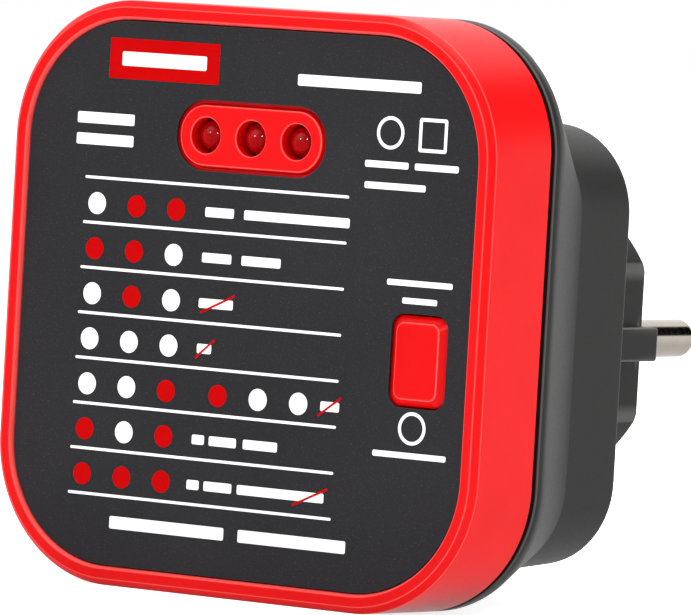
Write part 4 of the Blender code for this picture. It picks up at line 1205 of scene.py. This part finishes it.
def make_plug(material):
    builder = bmesh.new()
    body_front, face_edge = sleeve(builder, plug_rings())
    flange_y = FLANGE_FRONT_Y + FLANGE_THICK
    flange_front, flange_rear = sleeve(builder, [(FLANGE_FRONT_Y, ear_flange()), (flange_y, ear_flange())])
    cavity = rounded_box(CAVITY_HALF_X, CAVITY_HALF_Z, CAVITY_CORNER, steps=12)
    floor_y = PLUG_FACE_Y - PLUG_FACE_WALL
    cavity_mouth, cavity_floor = sleeve(builder, [(FLANGE_FRONT_Y, cavity), (floor_y, cavity)])
    ear_fronts = []
    ear_rears = []
    for side in (-1, 1):
        profile = [(FLANGE_FRONT_Y, PLUG_POST_HOLE), (flange_y, PLUG_POST_HOLE)]
        ear_front, ear_rear = sleeve(builder, turned_rings(profile, 0, side * PLUG_POST_Z, SMALL_STEPS))
        ear_fronts.append(ear_front)
        ear_rears.append(ear_rear)
    hole_fronts = []
    hole_rears = []
    for x, z, radius in [(-PIN_X, 0.0, PIN_HOLE), (PIN_X, 0.0, PIN_HOLE), (0.0, EARTH_HOLE_Z, EARTH_HOLE)]:
        profile = [
            (floor_y, radius),
            (PLUG_FACE_Y - 2 * SOFT_EDGE, radius),
            (PLUG_FACE_Y - SOFT_EDGE / 2, radius + SOFT_EDGE),
            (PLUG_FACE_Y, radius + 2 * SOFT_EDGE),
            (PLUG_FACE_Y, radius + 2 * SOFT_EDGE + SUPPORT),
        ]
        inner, outer = sleeve(builder, turned_rings(profile, x, z, 48))
        hole_fronts.append(inner)
        hole_rears.append(outer)
    cap(builder, face_edge, *hole_rears)
    cap(builder, cavity_floor, *hole_fronts)
    cap(builder, flange_front, cavity_mouth, *ear_fronts)
    cap(builder, flange_rear, body_front, *ear_rears)
    plug = add_piece("plug_housing", builder, [material], "tester", ["plug_body"])
    for side in (-1, 1):

        def add_slot(cutter, side=side):
            half = CLIP_HALF + 0.3 * MM
            ends = sorted((side * (CAVITY_HALF_Z - 0.5 * MM), side * (CHANNEL_FLOOR + 0.6 * MM)))
            low = (-half, CHANNEL_START_Y + 0.001 * MM, ends[0])
            add_block(cutter, low, (half, CHANNEL_START_Y + 1.5 * MM, ends[1]))

        cut_with(plug, add_slot)


def make_pins(material):
    collar_y = PLUG_FACE_Y - PLUG_FACE_WALL - 0.3 * MM
    for name, node, side in (("pin_left", "live_pin", -1), ("pin_right", "neutral_pin", 1)):
        builder = bmesh.new()
        profile = [
            (PIN_TAIL_Y, PIN_TAIL_RADIUS - 0.3 * MM),
            (PIN_TAIL_Y + 0.3 * MM, PIN_TAIL_RADIUS),
            (collar_y - 1.6 * MM, PIN_TAIL_RADIUS),
            (collar_y - 1.6 * MM, PIN_COLLAR),
            (collar_y, PIN_COLLAR),
            (collar_y, PIN_RADIUS),
            (PLUG_FACE_Y + 0.5 * MM, PIN_RADIUS),
            (PIN_TIP_Y - PIN_TIP_ROUND - SUPPORT, PIN_RADIUS),
        ]
        for along, inset in round_steps(PIN_TIP_ROUND, 10):
            profile.append((PIN_TIP_Y - along, PIN_RADIUS - inset))
        profile.append((PIN_TIP_Y, PIN_RADIUS - PIN_TIP_ROUND - SUPPORT))
        add_turned(builder, profile, side * PIN_X, 0.0)
        add_piece(name, builder, [material], "tester", [node])


def make_earth_clips(material):
    """Bowed strips with broken edges, turned inward at their front ends."""
    for name, side in (("earth_clip_top", 1), ("earth_clip_bottom", -1)):
        low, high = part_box(name)
        steps = 24
        outer = []
        for i in range(steps + 1):
            share = i / steps
            rise = CLIP_THICK + CLIP_BOW * math.sin(math.pi * share)
            outer.append((low.y + (high.y - low.y) * share, CLIP_BASE + rise))
        inner = [(y, z - CLIP_THICK) for y, z in outer[:0:-1]]
        bend_y = low.y + CLIP_THICK
        outline = outer + inner + [(bend_y, CLIP_BASE), (bend_y, CLIP_INNER), (low.y, CLIP_INNER)]
        builder = bmesh.new()
        sides = [[builder.verts.new((x, y, side * z)) for y, z in outline] for x in (-CLIP_HALF, CLIP_HALF)]
        bridge(builder, *sides)
        faces = [builder.faces.new(one) for one in sides]
        edges = list({edge for face in faces for edge in face.edges})
        bmesh.ops.bevel(
            builder, geom=edges, offset=0.12 * MM, segments=3, profile=0.5, affect="EDGES"
        )
        add_piece(f"{name}_strip", builder, [material], "tester", [name])


def make_earth_sleeve(material):
    low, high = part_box("earth_pin_sleeve")
    outer = EARTH_HOLE + SLEEVE_WALL
    profile = [
        (low.y, outer - 0.2 * MM),
        (low.y + 0.2 * MM, outer),
        (high.y, outer),
        (high.y, EARTH_HOLE),
        (low.y + SLEEVE_WALL, EARTH_HOLE),
    ]
    builder = bmesh.new()
    add_turned(builder, profile, 0.0, EARTH_HOLE_Z, 48)
    add_piece("earth_contact", builder, [material], "tester", ["earth_pin_sleeve"])


# ---- Inner pieces that keep their CAD shape ----


def paint_nodes(nodes, material):
    for name in nodes:
        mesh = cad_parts[name].data
        mesh.materials.clear()
        mesh.materials.append(material)


def paint_inner_nodes(steel):
    black = moulded(
        "black moulding", (0.018, 0.018, 0.019), 0.42, 0.25 * MM, 0.01 * MM, (0.12, 0.12, 0.12), 0.5
    )
    ivory = moulded(
        "ivory moulding", (0.70, 0.68, 0.61), 0.5, 0.3 * MM, 0.01 * MM, (0.9, 0.89, 0.85), 0.4
    )
    lead = (0.45, 0.45, 0.44)
    bands = [(0.26, (0.25, 0.1, 0.03)), (0.38, (0.01, 0.01, 0.01)), (0.5, (0.6, 0.05, 0.02))]
    bands.append((0.68, (0.6, 0.42, 0.1)))
    paint_nodes(["test_switch_body"], black)
    paint_nodes(["test_switch_plunger", "pin_carrier"], ivory)
    paint_nodes(["test_switch_dome"], metal("spring steel", (0.62, 0.62, 0.63), 0.3))
    paint_nodes(["main_board"], circuit_board("solder mask"))
    paint_nodes(["board_screw_1", "board_screw_2", "plug_screw_top", "plug_screw_bottom"], steel)
    series = banded(
        "series resistor", "series_resistor_1", (0.62, 0.47, 0.29), lead, bands, 3.15 * MM
    )
    paint_nodes([f"series_resistor_{i}" for i in (1, 2, 3)], series)
    load = banded("load resistor", "leakage_resistor_1", (0.28, 0.42, 0.50), lead, bands, 6.0 * MM)
    paint_nodes([f"leakage_resistor_{i}" for i in (1, 2, 3)], load)
    diode_band = [(0.27, (0.6, 0.6, 0.6))]
    diode = banded("diode", "rectifier_diode_1", (0.02, 0.02, 0.02), lead, diode_band, 2.6 * MM)
    paint_nodes([f"rectifier_diode_{i}" for i in (1, 2, 3)], diode)
    sleeve_blue = moulded(
        "capacitor sleeve", (0.02, 0.04, 0.15), 0.35, 0.4 * MM, 0.01 * MM, (0.3, 0.35, 0.5), 0.3
    )
    paint_nodes(["filter_capacitor"], sleeve_blue)
    brown = moulded(
        "brown insulation", (0.17, 0.06, 0.025), 0.45, 0.3 * MM, 0.01 * MM, (0.3, 0.16, 0.1), 0.2
    )
    blue = moulded(
        "blue insulation", (0.02, 0.09, 0.42), 0.45, 0.3 * MM, 0.01 * MM, (0.2, 0.3, 0.6), 0.2
    )
    paint_nodes(["live_wire"], brown)
    paint_nodes(["neutral_wire"], blue)
    paint_nodes(["earth_wire"], striped("earth insulation", (0.05, 0.30, 0.04), (0.75, 0.62, 0.03)))


# ---- Studio ----


def place_camera():
    azimuth = math.radians(CAMERA_AZIMUTH)
    elevation = math.radians(CAMERA_ELEVATION)
    roll = math.radians(CAMERA_ROLL)
    back = Vector(
        (
            math.sin(azimuth) * math.cos(elevation),
            -math.cos(azimuth) * math.cos(elevation),
            math.sin(elevation),
        )
    )
    level = Vector((math.cos(azimuth), math.sin(azimuth), 0.0))
    upright = back.cross(level)
    right = level * math.cos(roll) + upright * math.sin(roll)
    up = upright * math.cos(roll) - level * math.sin(roll)
    target = Vector((0.0, OVERLAY_Y, FACE_RISE))
    place = target + back * CAMERA_DISTANCE + right * CAMERA_RIGHT + up * CAMERA_UP
    data = bpy.data.cameras.new("camera")
    data.sensor_width = SENSOR_WIDTH
    data.lens = CAMERA_LENS
    data.clip_start = 0.05
    data.clip_end = 50.0
    camera = bpy.data.objects.new("camera", data)
    camera.matrix_world = Matrix((right, up, back)).transposed().to_4x4()
    camera.matrix_world.translation = place
    bpy.context.scene.collection.objects.link(camera)
    bpy.context.scene.camera = camera


def add_softbox(name, place, size, power):
    """A square area light that faces the middle of the object."""
    data = bpy.data.lights.new(name, "AREA")
    data.size = size
    data.energy = power
    light = bpy.data.objects.new(name, data)
    light.location = place
    light.rotation_euler = (Vector(SOFTBOX_TARGET) - Vector(place)).to_track_quat("-Z", "Y").to_euler()
    bpy.context.scene.collection.objects.link(light)


def make_world():
    """White where it is seen, and for light brighter behind the object than in front of it."""
    world = bpy.data.worlds.new("studio")
    bpy.context.scene.world = world
    world.use_nodes = True
    tree = world.node_tree
    tree.nodes.clear()
    direction = tree.nodes.new("ShaderNodeTexCoord").outputs["Generated"]
    split = add_node(tree, "ShaderNodeSeparateXYZ", Vector=direction)
    strength_open = spread(tree, split.outputs["Y"], WORLD_FRONT, WORLD_BACK, -0.6, 0.6)
    towards = add_node(tree, "ShaderNodeVectorMath", {"operation": "DOT_PRODUCT"})
    tree.links.new(direction, towards.inputs[0])
    towards.inputs[1].default_value = Vector(DARK_CARD).normalized()
    open_share = spread(tree, towards.outputs["Value"], 1.0, 0.0, *DARK_CARD_COSINES)
    above = spread(tree, split.outputs["Z"], WORLD_BELOW, 1.0, -0.35, 0.0)
    strength = multiply(tree, multiply(tree, strength_open, open_share), above)
    light = add_node(tree, "ShaderNodeBackground", Color=(1.0, 1.0, 1.0, 1.0), Strength=strength)
    seen = add_node(tree, "ShaderNodeBackground", Color=(1.0, 1.0, 1.0, 1.0), Strength=1.0)
    share = tree.nodes.new("ShaderNodeLightPath").outputs["Is Camera Ray"]
    mixed = add_node(tree, "ShaderNodeMixShader", Fac=share)
    tree.links.new(light.outputs["Background"], mixed.inputs[1])
    tree.links.new(seen.outputs["Background"], mixed.inputs[2])
    output = tree.nodes.new("ShaderNodeOutputWorld")
    tree.links.new(mixed.outputs["Shader"], output.inputs["Surface"])


def make_floor(material):
    builder = bmesh.new()
    level = CAD_BOX[0][2]
    bmesh.ops.create_circle(
        builder,
        cap_ends=True,
        segments=96,
        radius=FLOOR_RADIUS,
        matrix=Matrix.Translation((0.0, 0.0, level)),
    )
    mesh = bpy.data.meshes.new("studio_floor")
    builder.to_mesh(mesh)
    builder.free()
    mesh.materials.append(material)
    floor = bpy.data.objects.new("studio_floor", mesh)
    bpy.context.scene.collection.objects.link(floor)
    floor.visible_glossy = False


def make_studio():
    make_world()
    make_floor(paper_white("paper"))
    for name, place, size, power in SOFTBOXES:
        add_softbox(name, place, size, power)
    bpy.context.scene.view_settings.view_transform = "Standard"


def main():
    # Each moulding's pale colour serves its flecks and the painted highlight on its edges, with some edge
    # wear.
    red = moulded(
        "red moulding", (0.62, 0.002, 0.003), 0.34, 0.22 * MM, 0.006 * MM, (0.95, 0.17, 0.15), 0.4, 0.12
    )
    button_red = moulded(
        "button moulding", (0.62, 0.001, 0.002), 0.32, 0.25 * MM, 0.005 * MM, (0.95, 0.17, 0.15), 0.5, 0.12
    )
    dark = moulded(
        "dark moulding", (0.0075, 0.0076, 0.0072), 0.46, 0.20 * MM, 0.008 * MM, (0.16, 0.16, 0.155), 0.4, 0.2
    )
    steel = metal("zinc plated steel", (0.56, 0.56, 0.55), 0.34)
    brass = metal("contact brass", (0.72, 0.56, 0.30), 0.3, tarnish=(0.35, 0.22, 0.08))
    nickel = metal("nickel plate", (0.43, 0.385, 0.33), 0.12, tarnish=(0.32, 0.28, 0.23))
    make_cover(red)
    make_label(label_film("label film"))
    make_print(ink("white ink", (0.88, 0.88, 0.88)), ink("red ink", (0.44, 0.0, 0.0005)))
    make_lamps(lens("red resin"), steel)
    make_button(button_red)
    make_housing(dark)
    make_case_screws(steel)
    make_plug(dark)
    make_pins(nickel)
    make_earth_clips(brass)
    make_earth_sleeve(brass)
    paint_inner_nodes(steel)
    place_camera()
    make_studio()


main()
